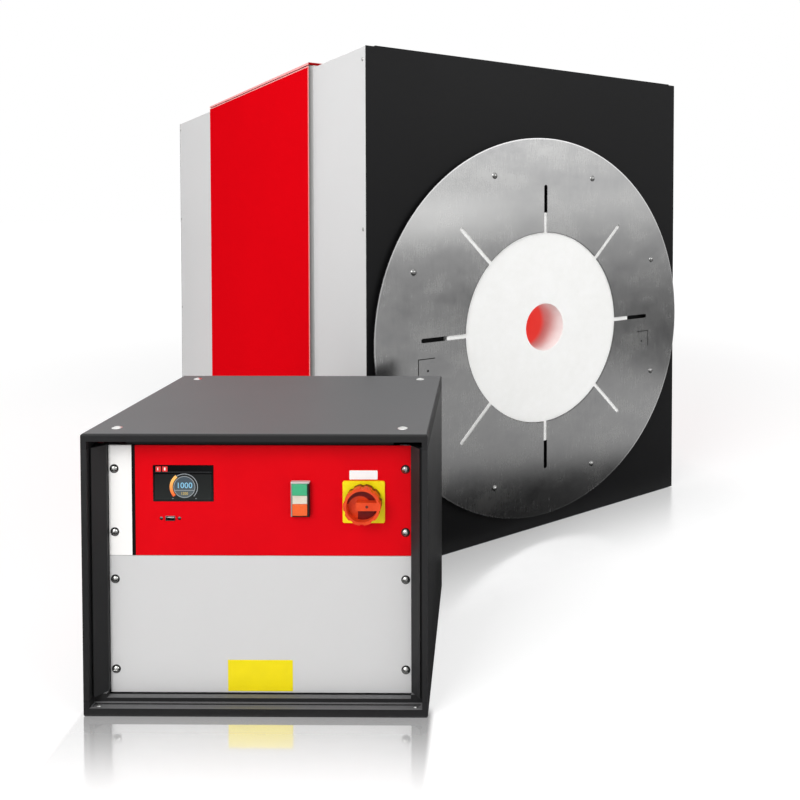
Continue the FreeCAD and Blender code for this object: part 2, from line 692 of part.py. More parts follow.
def make_side_panel(label, left, front):
    """Grey side tray of one end band."""
    length = "%s + tray_overlap - end_sheet" % ("front_band" if front else "rear_band")
    y = "end_sheet - case_length / 2" if front else "case_length / 2 - rear_band - tray_overlap"
    x = "-case_width / 2" if left else "case_width / 2 - tray_depth"
    folded = tray(label, ("tray_depth", length, "case_height - panel_foot"), (x, y, "panel_foot"),
                  0, 1 if left else -1)
    spots = front_screws(screw_rows()) if front else rear_screws(screw_rows()) + inner_screws()
    holes = [rod("%s_hole_%d" % (label, i), "screw_shank + hole_play", "tray_depth", (x, along, height), "X")
             for i, (along, height) in enumerate(spots)]
    return node(label, cut(label, folded, holes))


def make_side_cover(label, left):
    """Red side cover, standing out of the grey trays."""
    height = "case_height + cover_proud - cover_lip - cover_joint - cover_base"
    x = "-case_width / 2 - cover_proud" if left else "case_width / 2"
    return node(label, tray(label, ("cover_proud", "case_length - front_band - rear_band", height),
                            (x, "front_band - case_length / 2", "cover_base"), 0, 1 if left else -1))


def make_roof_panel(label, front):
    """Grey roof tray of one end band."""
    length = "%s + tray_overlap - end_sheet" % ("front_band" if front else "rear_band")
    y = "end_sheet - case_length / 2" if front else "case_length / 2 - rear_band - tray_overlap"
    return node(label, tray(label, ("case_width - 2 * tray_depth", length, "tray_depth"),
                            ("tray_depth - case_width / 2", y, "case_height - tray_depth"), 2, -1))


def make_roof_cover():
    """Red roof cover with ventilation slots, evenly spaced from its middle."""
    length = "case_length - front_band - rear_band"
    front = "front_band - case_length / 2"
    shell = tray("roof_cover_shell", ("case_width + 2 * cover_proud", length, "cover_lip"),
                 ("-case_width / 2 - cover_proud", front, "case_height + cover_proud - cover_lip"), 2, -1)
    ends = [box("roof_cover_end_%d" % i, ("case_width", "side_sheet", "cover_proud - side_sheet / 2"),
                ("-case_width / 2", y, "case_height"))
            for i, y in enumerate((front, "case_length / 2 - rear_band - side_sheet"))]
    first = "(front_band - rear_band - (vent_count - 1) * vent_pitch - vent_width) / 2"
    slots = []
    for i in range(int(v["vent_count"])):
        for j, x in enumerate(("-vent_length - vent_pitch / 2", "vent_pitch / 2")):
            slots.append(box("vent_%d_%d" % (i, j), ("vent_length", "vent_width", "4 * side_sheet"),
                             (x, "%s + %d * vent_pitch" % (first, i),
                              "case_height + cover_proud - 2 * side_sheet")))
    return node("top_cover", cut("top_cover", fuse("roof_cover_folded", [shell] + ends), slots))


def button_screw(radius, head_radius, head_height, length):
    """A button-head screw along Y, its head's seat at the origin and its head towards -Y."""
    crown = (head_radius ** 2 + head_height ** 2) / (2 * head_height)
    ball = Part.makeSphere(crown, Vector(0, crown - head_height, 0))
    disc = Part.makeCylinder(head_radius, head_height, Vector(0, -head_height, 0), Vector(0, 1, 0))
    shank = Part.makeCylinder(radius, length, Vector(0, 0, 0), Vector(0, 1, 0))
    return disc.common(ball).fuse(shank).removeSplitter()


def make_casing_screws():
    """Screws of the grey side trays: four at each outer edge, and one beside each red cover's rear edge."""
    screw = button_screw(v["screw_shank"], v["screw_head"], v["screw_crown"], v["screw_length"])
    places = []
    for y, z in front_screws(screw_rows()) + rear_screws(screw_rows()) + inner_screws():
        for side in (-1, 1):
            spot = Vector(side * v["case_width"] / 2, number(y), number(z))
            places.append(Placement(spot, Rotation(Vector(0, 0, 1), 90 * side)))
    return node("casing_screws", copies("casing_screws", screw, places))


# End discs

def make_end_disc(label, rear):
    """Stainless disc with eight expansion slots, eight bolt holes and two tabs cut free on two sides."""
    body = body_of(label)
    face = new_sketch(body, label + "_face", "XZ_Plane")
    circle(face, "0", "0", "disc_radius")
    circle(face, "0", "0", "disc_hole")
    pad(body, label + "_sheet", face, "disc_sheet")
    slot = new_sketch(body, label + "_slot_shape", "XZ_Plane")
    reach = "slot_reach - slot_width / 2"
    outline(slot, [
        ("disc_hole - slot_width", "-slot_width / 2"), (reach, "-slot_width / 2"),
        (reach, "slot_width / 2"), ("disc_hole - slot_width", "slot_width / 2"),
    ])
    first = pocket(body, label + "_slot", slot, "2 * disc_sheet")
    tip = new_sketch(body, label + "_slot_tip", "XZ_Plane")
    circle(tip, reach, "0", "slot_width / 2")
    second = pocket(body, label + "_slot_end", tip, "2 * disc_sheet")
    around(body, label + "_slots", [first, second], face, 8)
    bolt = new_sketch(body, label + "_bolt_shape", "XZ_Plane")
    x = v["bolt_circle"] * math.cos(math.radians(22.5))
    z = v["bolt_circle"] * math.sin(math.radians(22.5))
    circle(bolt, "%.6f" % x, "%.6f" % z, "bolt_radius + hole_play")
    hole = pocket(body, label + "_bolt_hole", bolt, "2 * disc_sheet")
    around(body, label + "_bolt_holes", [hole], face, 8)
    slits = new_sketch(body, label + "_slit_shape", "XZ_Plane")
    for side in ("-", ""):
        mirror = "" if side else "-"
        outer, inner = side + "slit_x", "%sslit_x %s slit_width" % (side, "+" if side else "-")
        arm = "%sslit_x %s slit_length" % (side, "+" if side else "-")
        outline(slits, [
            (outer, "-slit_drop"), (outer, "-slit_drop - slit_length"), (inner, "-slit_drop - slit_length"),
            (inner, "-slit_drop - slit_width"), (arm, "-slit_drop - slit_width"), (arm, "-slit_drop"),
        ])
        circle(slits, side + "pin_hole_x", "-pin_hole_drop", "pin_hole")
    pocket(body, label + "_slits", slits, "2 * disc_sheet")
    sign = "" if rear else "-"
    y = "case_length / 2 + disc_stand_off" if rear else "-case_length / 2 - disc_stand_off"
    place(body, "0", y, "tube_axis", HALF_TURN if rear else Rotation())
    return node(label, body)


def disc_bolt_places(y, turned):
    """Places of the eight bolts of one disc, at a distance y from the middle."""
    spots = []
    for angle in end_panel_screws():
        x = v["bolt_circle"] * math.cos(math.radians(angle))
        z = v["tube_axis"] + v["bolt_circle"] * math.sin(math.radians(angle))
        turn = HALF_TURN if turned else Rotation()
        spots.append(Placement(turn.multVec(Vector(x, -y, z)), turn))
    return spots


def make_disc_fasteners():
    """Spacer tubes and button-head bolts of both discs."""
    panel_face = v["case_length"] / 2
    disc_back = panel_face + v["disc_stand_off"]
    disc_face = disc_back + v["disc_sheet"]
    hole = v["bolt_radius"] + v["hole_play"]
    tube = Part.makeCylinder(v["spacer_radius"], v["disc_stand_off"], Vector(0, 0, 0), Vector(0, 1, 0))
    tube = tube.cut(Part.makeCylinder(hole, v["disc_stand_off"], Vector(0, 0, 0), Vector(0, 1, 0)))
    bolt = button_screw(v["bolt_radius"], v["bolt_head"], v["bolt_crown"], v["bolt_length"])
    node("disc_spacers", copies("disc_spacers", tube,
                                disc_bolt_places(disc_back, False) + disc_bolt_places(disc_back, True)))
    node("disc_bolts", copies("disc_bolts", bolt,
                              disc_bolt_places(disc_face, False) + disc_bolt_places(disc_face, True)))


# Hot box

def make_end_insulation(end_name, rear):
    """Outer board and inner block of one end, both bored for the work tube."""
    turn = Placement(Vector(0, 0, 0), HALF_TURN) if rear else None
    left, low = "-block_width / 2", "tube_axis - block_width / 2"
    outside = "-case_length / 2 - disc_stand_off"
    inside = outside + " + end_board"
    depth = "case_length / 2 + disc_stand_off - end_board - chamber_length / 2"
    for name, y, length in (("end_board", outside, "end_board"), ("vestibule_block", inside, depth)):
        label = "%s_%s" % (end_name, name)
        bore = rod(label + "_bore", "bore_radius", length, ("0", y, "tube_axis"), "Y")
        blank = box(label + "_blank", ("block_width", length, "block_width"), (left, y, low))
        node(label, cut(label, blank, [bore]), turn)


def element_spots():
    """Middles of the elements of one row, along the tube."""
    first = -v["element_pitch"] * (v["element_count"] - 1) / 2
    return [first + i * v["element_pitch"] for i in range(int(v["element_count"]))]


def sensor_spots():
    """Places of the two thermocouples, along the tube."""
    return [-v["sensor_spacing"] / 2, v["sensor_spacing"] / 2]


def make_chamber_insulation():
    """Floor, roof and walls round the heated chamber."""
    left = "-block_width / 2"
    start = "-chamber_length / 2"
    thick = "(block_width - chamber_height) / 2"
    wall = "(block_width - chamber_width) / 2"
    floor = box("floor_insulation", ("block_width", "chamber_length", thick),
                (left, start, "tube_axis - block_width / 2"))
    node("floor_insulation", floor)
    roof = box("roof_blank", ("block_width", "chamber_length", thick),
               (left, start, "tube_axis + chamber_height / 2"))
    holes = []
    for side in ("-row_offset", "row_offset"):
        for y in element_spots():
            for leg in (-1, 1):
                spot = y + leg * v["leg_spacing"] / 2
                holes.append(rod("element_hole_%d" % len(holes), "terminal_radius + hole_play", thick,
                                 (side, signed(spot), "tube_axis + chamber_height / 2")))
    for y in sensor_spots():
        holes.append(rod("sensor_hole_%d" % len(holes), "sheath_radius + hole_play", thick,
                         ("0", signed(y), "tube_axis + chamber_height / 2")))
    node("roof_insulation", cut("roof_insulation", roof, holes))
    for label, x in (("left_wall_insulation", left), ("right_wall_insulation", "chamber_width / 2")):
        side = box(label, (wall, "chamber_length", "chamber_height"),
                   (x, start, "tube_axis - chamber_height / 2"))
        node(label, side)


def signed(value):
    """A plain number as an expression."""
    return "%.6f" % value if value >= 0 else "-%.6f" % -value


def make_hot_box_case():
    """Square steel case round the insulation, open at both ends and slotted over the element rows."""
    left, low = "-block_width / 2", "tube_axis - block_width / 2"
    start, length = "end_sheet - case_length / 2", "case_length - 2 * end_sheet"
    side = "block_width + 2 * hot_sheet"
    outer = box("hot_case_outer", (side, length, side), (left + " - hot_sheet", start, low + " - hot_sheet"))
    inner = box("hot_case_inner", ("block_width", length, "block_width"), (left, start, low))
    slot_length = "element_pitch * (element_count - 1) + leg_spacing + 2 * terminal_radius + 2 * hot_slot_play"
    slots = [box("hot_case_slot_%d" % i, ("holder_width - 2 * hot_slot_edge", slot_length, "3 * hot_sheet"),
                 (x + " - holder_width / 2 + hot_slot_edge", "-(%s) / 2" % slot_length,
                  "tube_axis + block_width / 2 - hot_sheet"))
             for i, x in enumerate(("-row_offset", "row_offset"))]
    holes = [rod("hot_case_hole_%d" % i, "sheath_radius + hole_play", "3 * hot_sheet",
                 ("0", signed(y), "tube_axis + block_width / 2 - hot_sheet"))
             for i, y in enumerate(sensor_spots())]
    return node("hot_box_case", cut("hot_box_case", outer, [inner] + slots + holes))


def heating_element():
    """One U-shaped element: two thick cold ends, tapers, and the thin hot bend, in the YZ plane."""
    reach = v["leg_spacing"] / 2
    bend = v["bend_height"] + reach
    taper = v["taper_length"]
    pieces = []
    low = v["hot_zone_top"]
    high = low + taper
    for side in (-1, 1):
        y = side * reach
        pieces.append(Part.makeCylinder(v["leg_radius"], low - bend, Vector(0, y, bend)))
        pieces.append(Part.makeCone(v["leg_radius"], v["terminal_radius"], taper, Vector(0, y, low)))
        pieces.append(Part.makeCylinder(v["terminal_radius"], v["terminal_top"] - high, Vector(0, y, high)))
    ring = Part.makeTorus(reach, v["leg_radius"], Vector(0, 0, bend), Vector(1, 0, 0))
    lower = Part.makeBox(4 * v["leg_radius"], 4 * reach, 2 * reach,
                         Vector(-2 * v["leg_radius"], -2 * reach, bend - 2 * reach))
    return pieces[0].multiFuse(pieces[1:] + [ring.common(lower)]).removeSplitter()


def make_elements():
    """Two rows of hanging elements, one each side of the tube."""
    master = heating_element()
    for label, x in (("left_heating_elements", -v["row_offset"]), ("right_heating_elements", v["row_offset"])):
        places = [Placement(Vector(x, y, 0), Rotation()) for y in element_spots()]
        node(label, copies(label, master, places))


def make_holders():
    """Ceramic holders that carry the elements on the hot box case."""
    top = v["tube_axis"] + v["block_width"] / 2 + v["hot_sheet"]
    block = Part.makeBox(v["holder_width"], v["holder_length"], v["holder_height"],
                         Vector(-v["holder_width"] / 2, -v["holder_length"] / 2, 0))
    for side in (-1, 1):
        hole = Part.makeCylinder(v["terminal_radius"] + v["hole_play"], v["holder_height"],
                                 Vector(0, side * v["leg_spacing"] / 2, 0))
        block = block.cut(hole)
    places = [Placement(Vector(x, y, top), Rotation())
              for x in (-v["row_offset"], v["row_offset"]) for y in element_spots()]
    return node("element_holders", copies("element_holders", block, places))


def clamp_ring(x, y):
    """Clamp round an element's upper end."""
    low = Vector(x, y, v["terminal_top"] - v["clamp_height"])
    ring = Part.makeCylinder(v["clamp_radius"], v["clamp_height"], low)
    return ring.cut(Part.makeCylinder(v["terminal_radius"] + v["hole_play"], v["clamp_height"], low))


def make_straps():
    """Looped straps between neighbouring elements, a bar across the front end, two supply bars at the rear."""
    row = v["row_offset"]
    spots = element_spots()
    reach = v["leg_spacing"] / 2
    foot = (v["clamp_radius"] + v["terminal_radius"] + v["hole_play"]) / 2
    loop_radius = (v["element_pitch"] - v["leg_spacing"]) / 2 - foot
    sheet_half = v["strap_sheet"] / 2
    solids = []
    for x in (-row, row):
        for y in spots[:-1]:
            start, end = y + reach, y + v["element_pitch"] - reach
            middle = Vector(x - v["strap_width"] / 2, (start + end) / 2,
                            v["terminal_top"] - v["clamp_height"] / 2)
            outer = Part.makeCylinder(loop_radius + sheet_half, v["strap_width"], middle, Vector(1, 0, 0))
            inner = Part.makeCylinder(loop_radius - sheet_half, v["strap_width"], middle, Vector(1, 0, 0))
            upper = Part.makeBox(v["strap_width"], 4 * loop_radius, 2 * loop_radius,
                                 middle - Vector(0, 2 * loop_radius, 0))
            loop = outer.cut(inner).common(upper)
            solids.append(loop.multiFuse([clamp_ring(x, start), clamp_ring(x, end)]))
    front = spots[0] - reach
    bar_low = v["terminal_top"] - v["clamp_height"]
    inset = v["clamp_radius"] - v["strap_root"]
    bar = Part.makeBox(2 * (row - inset), v["strap_sheet"], v["clamp_height"],
                       Vector(inset - row, front - sheet_half, bar_low))
    solids.append(bar.multiFuse([clamp_ring(-row, front), clamp_ring(row, front)]))
    rear = spots[-1] + reach
    for x in (-row, row):
        length = v["supply_y"] + v["pillar_radius"] - rear - inset
        bar = Part.makeBox(v["strap_sheet"], length, v["clamp_height"],
                           Vector(x - sheet_half, rear + inset, bar_low))
        solids.append(bar.fuse(clamp_ring(x, rear)))
    return node("element_straps", copies("element_straps", Part.makeCompound(solids), [Placement()]))


def make_terminal_block():
    """Insulating base and pillars under the ends of the supply bars."""
    floor = "tube_axis + block_width / 2 + hot_sheet"
    base = box("terminal_base", ("2 * row_offset + 4 * pillar_radius", "3 * pillar_radius", "pillar_base"),
               ("-row_offset - 2 * pillar_radius", "supply_y - 1.5 * pillar_radius", floor))
    height = "terminal_top - clamp_height - pillar_base - (%s)" % floor
    pillars = [rod("pillar_%d" % i, "pillar_radius", height, (x, "supply_y", floor + " + pillar_base"))
               for i, x in enumerate(("-row_offset", "row_offset"))]
    return node("terminal_block", fuse("terminal_block", [base] + pillars))


def make_thermocouples():
    """Control and over-temperature thermocouples: sheath, collar, neck and head."""
    top = v["tube_axis"] + v["block_width"] / 2 + v["hot_sheet"]
    neck_low = top + v["collar_height"]
    head_low = neck_low + v["neck_height"]
    lid_low = head_low + v["head_height"]
    sheath = Part.makeCylinder(v["sheath_radius"], top - v["sheath_tip"], Vector(0, 0, v["sheath_tip"]))
    collar = Part.makeCylinder(v["collar_radius"], v["collar_height"], Vector(0, 0, top))
    neck = Part.makeCylinder(v["neck_radius"], v["neck_height"], Vector(0, 0, neck_low))
    head = Part.makeCylinder(v["head_radius"], v["head_height"], Vector(0, 0, head_low))
    lid = Part.makeCone(v["head_radius"], v["head_radius"] - v["lid_slope"], v["lid_height"],
                        Vector(0, 0, lid_low))
    master = sheath.multiFuse([collar, neck, head, lid]).removeSplitter()
    return node("thermocouples", copies("thermocouples", master,
                                        [Placement(Vector(0, y, 0), Rotation()) for y in sensor_spots()]))


def hexagon(radius, length, start):
    """A hexagonal prism along Y."""
    points = [Vector(radius * math.cos(math.radians(60 * i)), start, radius * math.sin(math.radians(60 * i)))
              for i in range(7)]
    return Part.Face(Part.makePolygon(points)).extrude(Vector(0, length, 0))


def cable_gland(wall):
    """A blanked cable gland along Y, its seat on the wall's outside at the origin."""
    radius = v["gland_radius"]
    nut_start = -v["gland_collar"] - v["gland_nut"]
    dome_start = nut_start - v["gland_dome"]
    thread = Part.makeCylinder(radius, wall + v["gland_thread"], Vector(0, 0, 0), Vector(0, 1, 0))
    collar = hexagon(radius * 1.4, v["gland_collar"], -v["gland_collar"])
    nut = Part.makeCylinder(radius * 1.15, v["gland_nut"], Vector(0, nut_start, 0), Vector(0, 1, 0))
    dome = Part.makeCone(radius * 0.8, radius * 1.15, v["gland_dome"],
                         Vector(0, dome_start, 0), Vector(0, 1, 0))
    lock = hexagon(radius * 1.35, v["gland_lock"], wall)
    return thread.multiFuse([collar, nut, dome, lock]).removeSplitter()


def make_glands():
    """Two glands low on the furnace's rear panel and three on the control unit's."""
    behind = v["case_length"] / 2
    places = [Placement(Vector(x, behind, v["gland_z"]), HALF_TURN) for x in (-v["gland_x"], v["gland_x"])]
    furnace = copies("furnace_glands", cable_gland(v["end_sheet"]), places)
    face = v["unit_depth"] - v["shell_sheet"]
    spots = [UNIT.multiply(Placement(Vector(x, face, v["unit_gland_z"]), HALF_TURN))
             for x in unit_gland_spots()]
    unit = copies("unit_glands", cable_gland(v["shell_sheet"]), spots)
    return node("cable_glands", group("cable_glands", [furnace, unit]))


def unit_gland_spots():
    """Places of the control unit's glands across its rear panel."""
    return [v["unit_gland_left"] + i * v["unit_gland_pitch"] for i in range(int(v["unit_gland_count"]))]


# Control unit, in its own frame: X along its front, Y into its depth, Z up

def make_unit_covers():
    """Base tray and top cover, each with a front lip, and the holes for their screws."""
    stile = "(unit_width - panel_width) / 2 - side_play"
    inside = "unit_width - 2 * shell_sheet"
    between = "unit_width - 2 * lip_depth"
    blank = box("base_blank", ("unit_width", "unit_depth", "base_rail"), ("0", "0", "0"))
    base_round = rounded("base_rounded", blank, v["base_round"],
                         lambda edge: edge.BoundBox.ZMax < 0.01 and edge.BoundBox.YLength > 1)
    tools = [
        box("base_floor", (inside, "unit_depth - rail_depth - shell_sheet", "base_rail"),
            ("shell_sheet", "rail_depth", "shell_sheet")),
        box("base_lip", (between, "step_depth", "base_rail"), ("lip_depth", "0", "lip_height")),
        box("base_step", ("unit_width - 2 * (%s)" % stile, "rail_depth", "base_rail"),
            (stile, "0", "step_height")),
        box("base_groove", ("unit_width - 2 * groove_end", "step_depth / 2", "base_rail"),
            ("groove_end", "step_depth / 4", "lip_height - groove_depth")),
    ]
    tools += [rod("base_hole_front_%d" % i, "lip_screw + hole_play", "lip_height",
                  (x, "lip_screw_front", "lip_height / 3"))
              for i, x in enumerate(("lip_screw_side", "unit_width - lip_screw_side"))]
    node("case_base", cut("case_base", base_round, tools), UNIT)

    low = "unit_height - cap_height"
    blank = box("cap_blank", ("unit_width", "unit_depth", "cap_height"), ("0", "0", low))
    cap_round = rounded("cap_rounded", blank, v["cap_round"],
                        lambda edge: edge.BoundBox.ZMin > v["unit_height"] - 0.01)
    tools = [
        box("cap_room", (inside, "unit_depth - rail_depth - shell_sheet", "cap_height"),
            ("shell_sheet", "rail_depth", low + " - shell_sheet")),
        box("cap_front_room", (between, "rail_depth - lip_depth", "cap_height"),
            ("lip_depth", "lip_depth", low + " - shell_sheet")),
        box("cap_lip", (between, "lip_depth", "cap_height - lip_height"), ("lip_depth", "0", low)),
    ]
    tools += [rod("cap_hole_%d_%d" % (i, j), "cover_screw + hole_play", "cap_height", (x, y, low))
              for i, x in enumerate(("cover_screw_side", "unit_width - cover_screw_side"))
              for j, y in enumerate(("cover_screw_end", "unit_depth - cover_screw_end"))]
    rail = box("cap_rail",
               ("unit_width - 4 * (%s)" % stile, "rack_sheet", "cap_height + seal_depth - shell_sheet"),
               ("2 * (%s)" % stile, "panel_recess + panel_sheet", low + " - seal_depth"))
    node("case_top", fuse("case_top", [cut("cap_hollowed", cap_round, tools), rail]), UNIT)


def side_profile_points(mirrored):
    """Section of a side profile: nose, channel, sloping stile, and the thin wall behind them."""
    stile = "(unit_width - panel_width) / 2 - side_play"
    points = [
        ("0", "0"), ("lip_depth", "0"), ("lip_depth", "nose_depth"),
        ("lip_depth + channel_width", "nose_depth"), ("lip_depth + channel_width", "channel_floor"),
        (stile, "stile_depth"),
        (stile, "panel_recess + panel_sheet"), ("side_wall", "panel_recess + panel_sheet"),
        ("side_wall", "unit_depth"), ("0", "unit_depth"),
    ]
    if mirrored:
        points = [("unit_width - (%s)" % x, y) for x, y in points][::-1]
    return points


def make_side_profile(label, mirrored):
    """Extruded side of the control unit, between base tray and top cover."""
    body = body_of(label)
    section = new_sketch(body, label + "_section", "XY_Plane")
    outline(section, side_profile_points(mirrored))
    pad(body, label + "_length", section, "unit_height - base_rail - cap_height")
    return node(label, body, UNIT.multiply(Placement(Vector(0, 0, v["base_rail"]), Rotation())))


def rack_screw_heights():
    """Heights of the rack screws, lower panel first."""
    lower = v["panel_seat"] + v["lower_panel"] / 2
    upper = v["panel_seat"] + v["lower_panel"] + v["panel_gap"] + v["upper_panel"] / 2
    return [lower - v["lower_span"] / 2, lower + v["lower_span"] / 2,
            upper - v["upper_span"] / 2, upper + v["upper_span"] / 2]


def rack_screw_lefts():
    return [v["unit_width"] / 2 - v["rack_span"] / 2, v["unit_width"] / 2 + v["rack_span"] / 2]


def make_rack_angles():
    """Two angles behind the panels' edges, which take the panel screws."""
    back = "panel_recess + panel_sheet"
    low, height = "base_rail + shell_sheet", "unit_height - cap_height - base_rail - 2 * shell_sheet"
    angles = []
    right = "unit_width - side_wall - "
    sides = (("side_wall", "side_wall"), (right + "rack_flange", right + "rack_sheet"))
    for i, (left, leg) in enumerate(sides):
        flange = box("rack_flange_%d" % i, ("rack_flange", "rack_sheet", height), (left, back, low))
        web = box("rack_web_%d" % i, ("rack_sheet", "rack_web", height), (leg, back, low))
        holes = [rod("rack_hole_%d_%d" % (i, j), "rack_screw + hole_play", "rack_sheet",
                     (signed(rack_screw_lefts()[i]), back, signed(z)), "Y")
                 for j, z in enumerate(rack_screw_heights())]
        angles.append(cut("rack_angle_%d" % i, fuse("rack_bent_%d" % i, [flange, web]), holes))
    return node("rack_angles", group("rack_angles", angles), UNIT)


def panel_blank(name, low, height, screws):
    """A rack panel with its four screw holes."""
    plate = box(name + "_plate", ("panel_width", "panel_sheet", height),
                ("(unit_width - panel_width) / 2", "panel_recess", low))
    holes = [rod("%s_hole_%d_%d" % (name, i, j), "rack_hole", "panel_sheet",
                 (signed(x), "panel_recess", signed(z)), "Y")
             for i, x in enumerate(rack_screw_lefts()) for j, z in enumerate(screws)]
    return plate, holes


UPPER_LOW = "panel_seat + lower_panel + panel_gap"
PANEL_LEFT = "(unit_width - panel_width) / 2"
PANEL_TOP = UPPER_LOW + " + upper_panel"


def make_panels():
    """Red upper panel with the cut-outs of its controls, and plain grey lower panel."""
    plate, holes = panel_blank("red_panel", UPPER_LOW, "upper_panel", rack_screw_heights()[2:])
    screen = box("screen_cut", ("screen_width + 2 * fit_play", "panel_sheet", "screen_height + 2 * fit_play"),
                 (PANEL_LEFT + " + screen_left - fit_play", "panel_recess",
                  PANEL_TOP + " - screen_top - screen_height - fit_play"))
    port = box("port_cut", ("port_width + 2 * fit_play", "panel_sheet", "port_height + 2 * fit_play"),
               (PANEL_LEFT + " + port_middle - port_width / 2 - fit_play", "panel_recess",
                PANEL_TOP + " - port_drop - port_height / 2 - fit_play"))
    port_screws = [rod("port_screw_hole_%d" % i, "port_screw + hole_play", "panel_sheet",
                       (PANEL_LEFT + " + port_middle %s port_screws / 2" % sign, "panel_recess",
                        PANEL_TOP + " - port_drop"), "Y")
                   for i, sign in enumerate("-+")]
    key = box("key_cut", ("key_width - 2 * key_rim", "panel_sheet", "key_height - 2 * key_rim"),
              (PANEL_LEFT + " + key_middle - key_width / 2 + key_rim", "panel_recess",
               PANEL_TOP + " - key_drop - key_height / 2 + key_rim"))
    knob = rod("knob_cut", "shaft_radius + shaft_room", "panel_sheet",
               (PANEL_LEFT + " + knob_middle", "panel_recess", PANEL_TOP + " - knob_drop"), "Y")
    node("red_panel", cut("red_panel", plate, holes + [screen, port, key, knob] + port_screws), UNIT)
    plate, holes = panel_blank("grey_panel", "panel_seat", "lower_panel", rack_screw_heights()[:2])
    node("grey_panel", cut("grey_panel", plate, holes), UNIT)


def make_panel_screws():
    """Slotted screws with cup washers, and the screws in the covers' corners."""
    washer = Part.makeCone(v["washer_radius"] - v["washer_slope"], v["washer_radius"], v["washer_height"],
                           Vector(0, -v["washer_height"], 0), Vector(0, 1, 0))
    washer = washer.cut(Part.makeCylinder(v["rack_screw"] + v["hole_play"], v["washer_height"],
                                          Vector(0, -v["washer_height"], 0), Vector(0, 1, 0)))
    head, crown, cleft = v["rack_screw_head"], v["rack_screw_crown"], v["driver_slot"]
    screw = button_screw(v["rack_screw"], head, crown, v["rack_screw_length"])
    screw = screw.cut(Part.makeBox(3 * head, cleft, cleft, Vector(-1.5 * head, -crown, -cleft / 2)))
    screw.translate(Vector(0, -v["washer_height"], 0))
    pair = Part.makeCompound([washer, screw])
    places = []
    for i, x in enumerate(rack_screw_lefts()):
        for j, z in enumerate(rack_screw_heights()):
            turn = Rotation(Vector(0, 1, 0), v["slot_step"] * (i + 2 * j))
            places.append(UNIT.multiply(Placement(Vector(x, v["panel_recess"], z), turn)))
    node("panel_screws", copies("panel_screws", pair, places))
    down = Rotation(Vector(1, 0, 0), -90)
    large = button_screw(v["cover_screw"], v["cover_screw_head"],
                         v["cover_screw_crown"], v["cover_screw_length"])
    small = button_screw(v["lip_screw"], v["lip_screw_head"], v["lip_screw_crown"], v["lip_screw_length"])
    width, depth = v["unit_width"], v["unit_depth"]
    top = [Vector(x, y, v["unit_height"])
           for x in (v["cover_screw_side"], width - v["cover_screw_side"])
           for y in (v["cover_screw_end"], depth - v["cover_screw_end"])]
    lip = [Vector(x, v["lip_screw_front"], v["lip_height"] - v["groove_depth"])
           for x in (v["lip_screw_side"], width - v["lip_screw_side"])]
    cover_screws = copies("cover_screws", large, [UNIT.multiply(Placement(spot, down)) for spot in top])
    lip_screws = copies("lip_screws", small, [UNIT.multiply(Placement(spot, down)) for spot in lip])
    node("case_screws", group("case_screws", [cover_screws, lip_screws]))


def make_display():
    """Display glass in the panel's cut-out, and the module behind it."""
    left, top = PANEL_LEFT + " + screen_left", PANEL_TOP + " - screen_top"
    glass = box("display_glass_blank", ("screen_width", "panel_sheet + screen_proud", "screen_height"),
                (left, "panel_recess - screen_proud", top + " - screen_height"))
    edge = rounded("display_glass", glass, v["screen_round"],
                   lambda e: abs(e.BoundBox.YLength - v["panel_sheet"] - v["screen_proud"]) < 0.01)
    node("display_glass", edge, UNIT)
    body = box("display_body",
               ("screen_width + 2 * module_rim", "module_depth", "screen_height + 2 * module_rim"),
               (left + " - module_rim", "panel_recess + panel_sheet", top + " - screen_height - module_rim"))
    plug = box("display_plug", ("plug_width", "plug_depth", "plug_height"),
               (left + " + plug_left", "panel_recess + panel_sheet + module_depth", top + " - screen_height"))
    node("display_module", fuse("display_module", [body, plug]), UNIT)


def make_port():
    """Data socket: shell with its tongue, and its two screws."""
    left = PANEL_LEFT + " + port_middle - port_width / 2"
    low = PANEL_TOP + " - port_drop - port_height / 2"
    front = "panel_recess - port_proud"
    shell = box("port_shell", ("port_width", "port_depth", "port_height"), (left, front, low))
    room = box("port_room",
               ("port_width - 2 * port_wall", "port_depth - port_back", "port_height - 2 * port_wall"),
               (left + " + port_wall", front, low + " + port_wall"))
    tongue = box("port_tongue", ("port_width - 2 * port_wall - 2 * tongue_play", "port_depth - 2 * port_back",
                                 "tongue_sheet"),
                 (left + " + port_wall + tongue_play", front + " + port_back",
                  low + " + port_height - port_wall - tongue_drop - tongue_sheet"))
    bracket = box("port_bracket", ("port_screws + 2 * bracket_side", "bracket_sheet",
                                   "port_height + 2 * bracket_edge"),
                  (PANEL_LEFT + " + port_middle - port_screws / 2 - bracket_side",
                   "panel_recess + panel_sheet", low + " - bracket_edge"))
    window = box("port_bracket_window", ("port_width", "bracket_sheet", "port_height"),
                 (left, "panel_recess + panel_sheet", low))
    holes = [rod("port_bracket_hole_%d" % i, "port_screw + hole_play", "bracket_sheet",
                 (PANEL_LEFT + " + port_middle %s port_screws / 2" % sign, "panel_recess + panel_sheet",
                  PANEL_TOP + " - port_drop"), "Y")
             for i, sign in enumerate("-+")]
    shell_cut = cut("port_shell_cut", shell, [room])
    flange = cut("port_flange", bracket, [window] + holes)
    node("usb_socket", fuse("usb_socket", [shell_cut, tongue, flange]), UNIT)
    screw = button_screw(v["port_screw"], v["port_screw_head"], v["port_screw_crown"], v["port_screw_length"])
    middle = number(PANEL_LEFT + " + port_middle")
    height = number(PANEL_TOP + " - port_drop")
    spots = [Vector(middle + side * v["port_screws"] / 2, v["panel_recess"], height) for side in (-1, 1)]
    places = [UNIT.multiply(Placement(spot, Rotation())) for spot in spots]
    node("usb_screws", copies("usb_screws", screw, places))


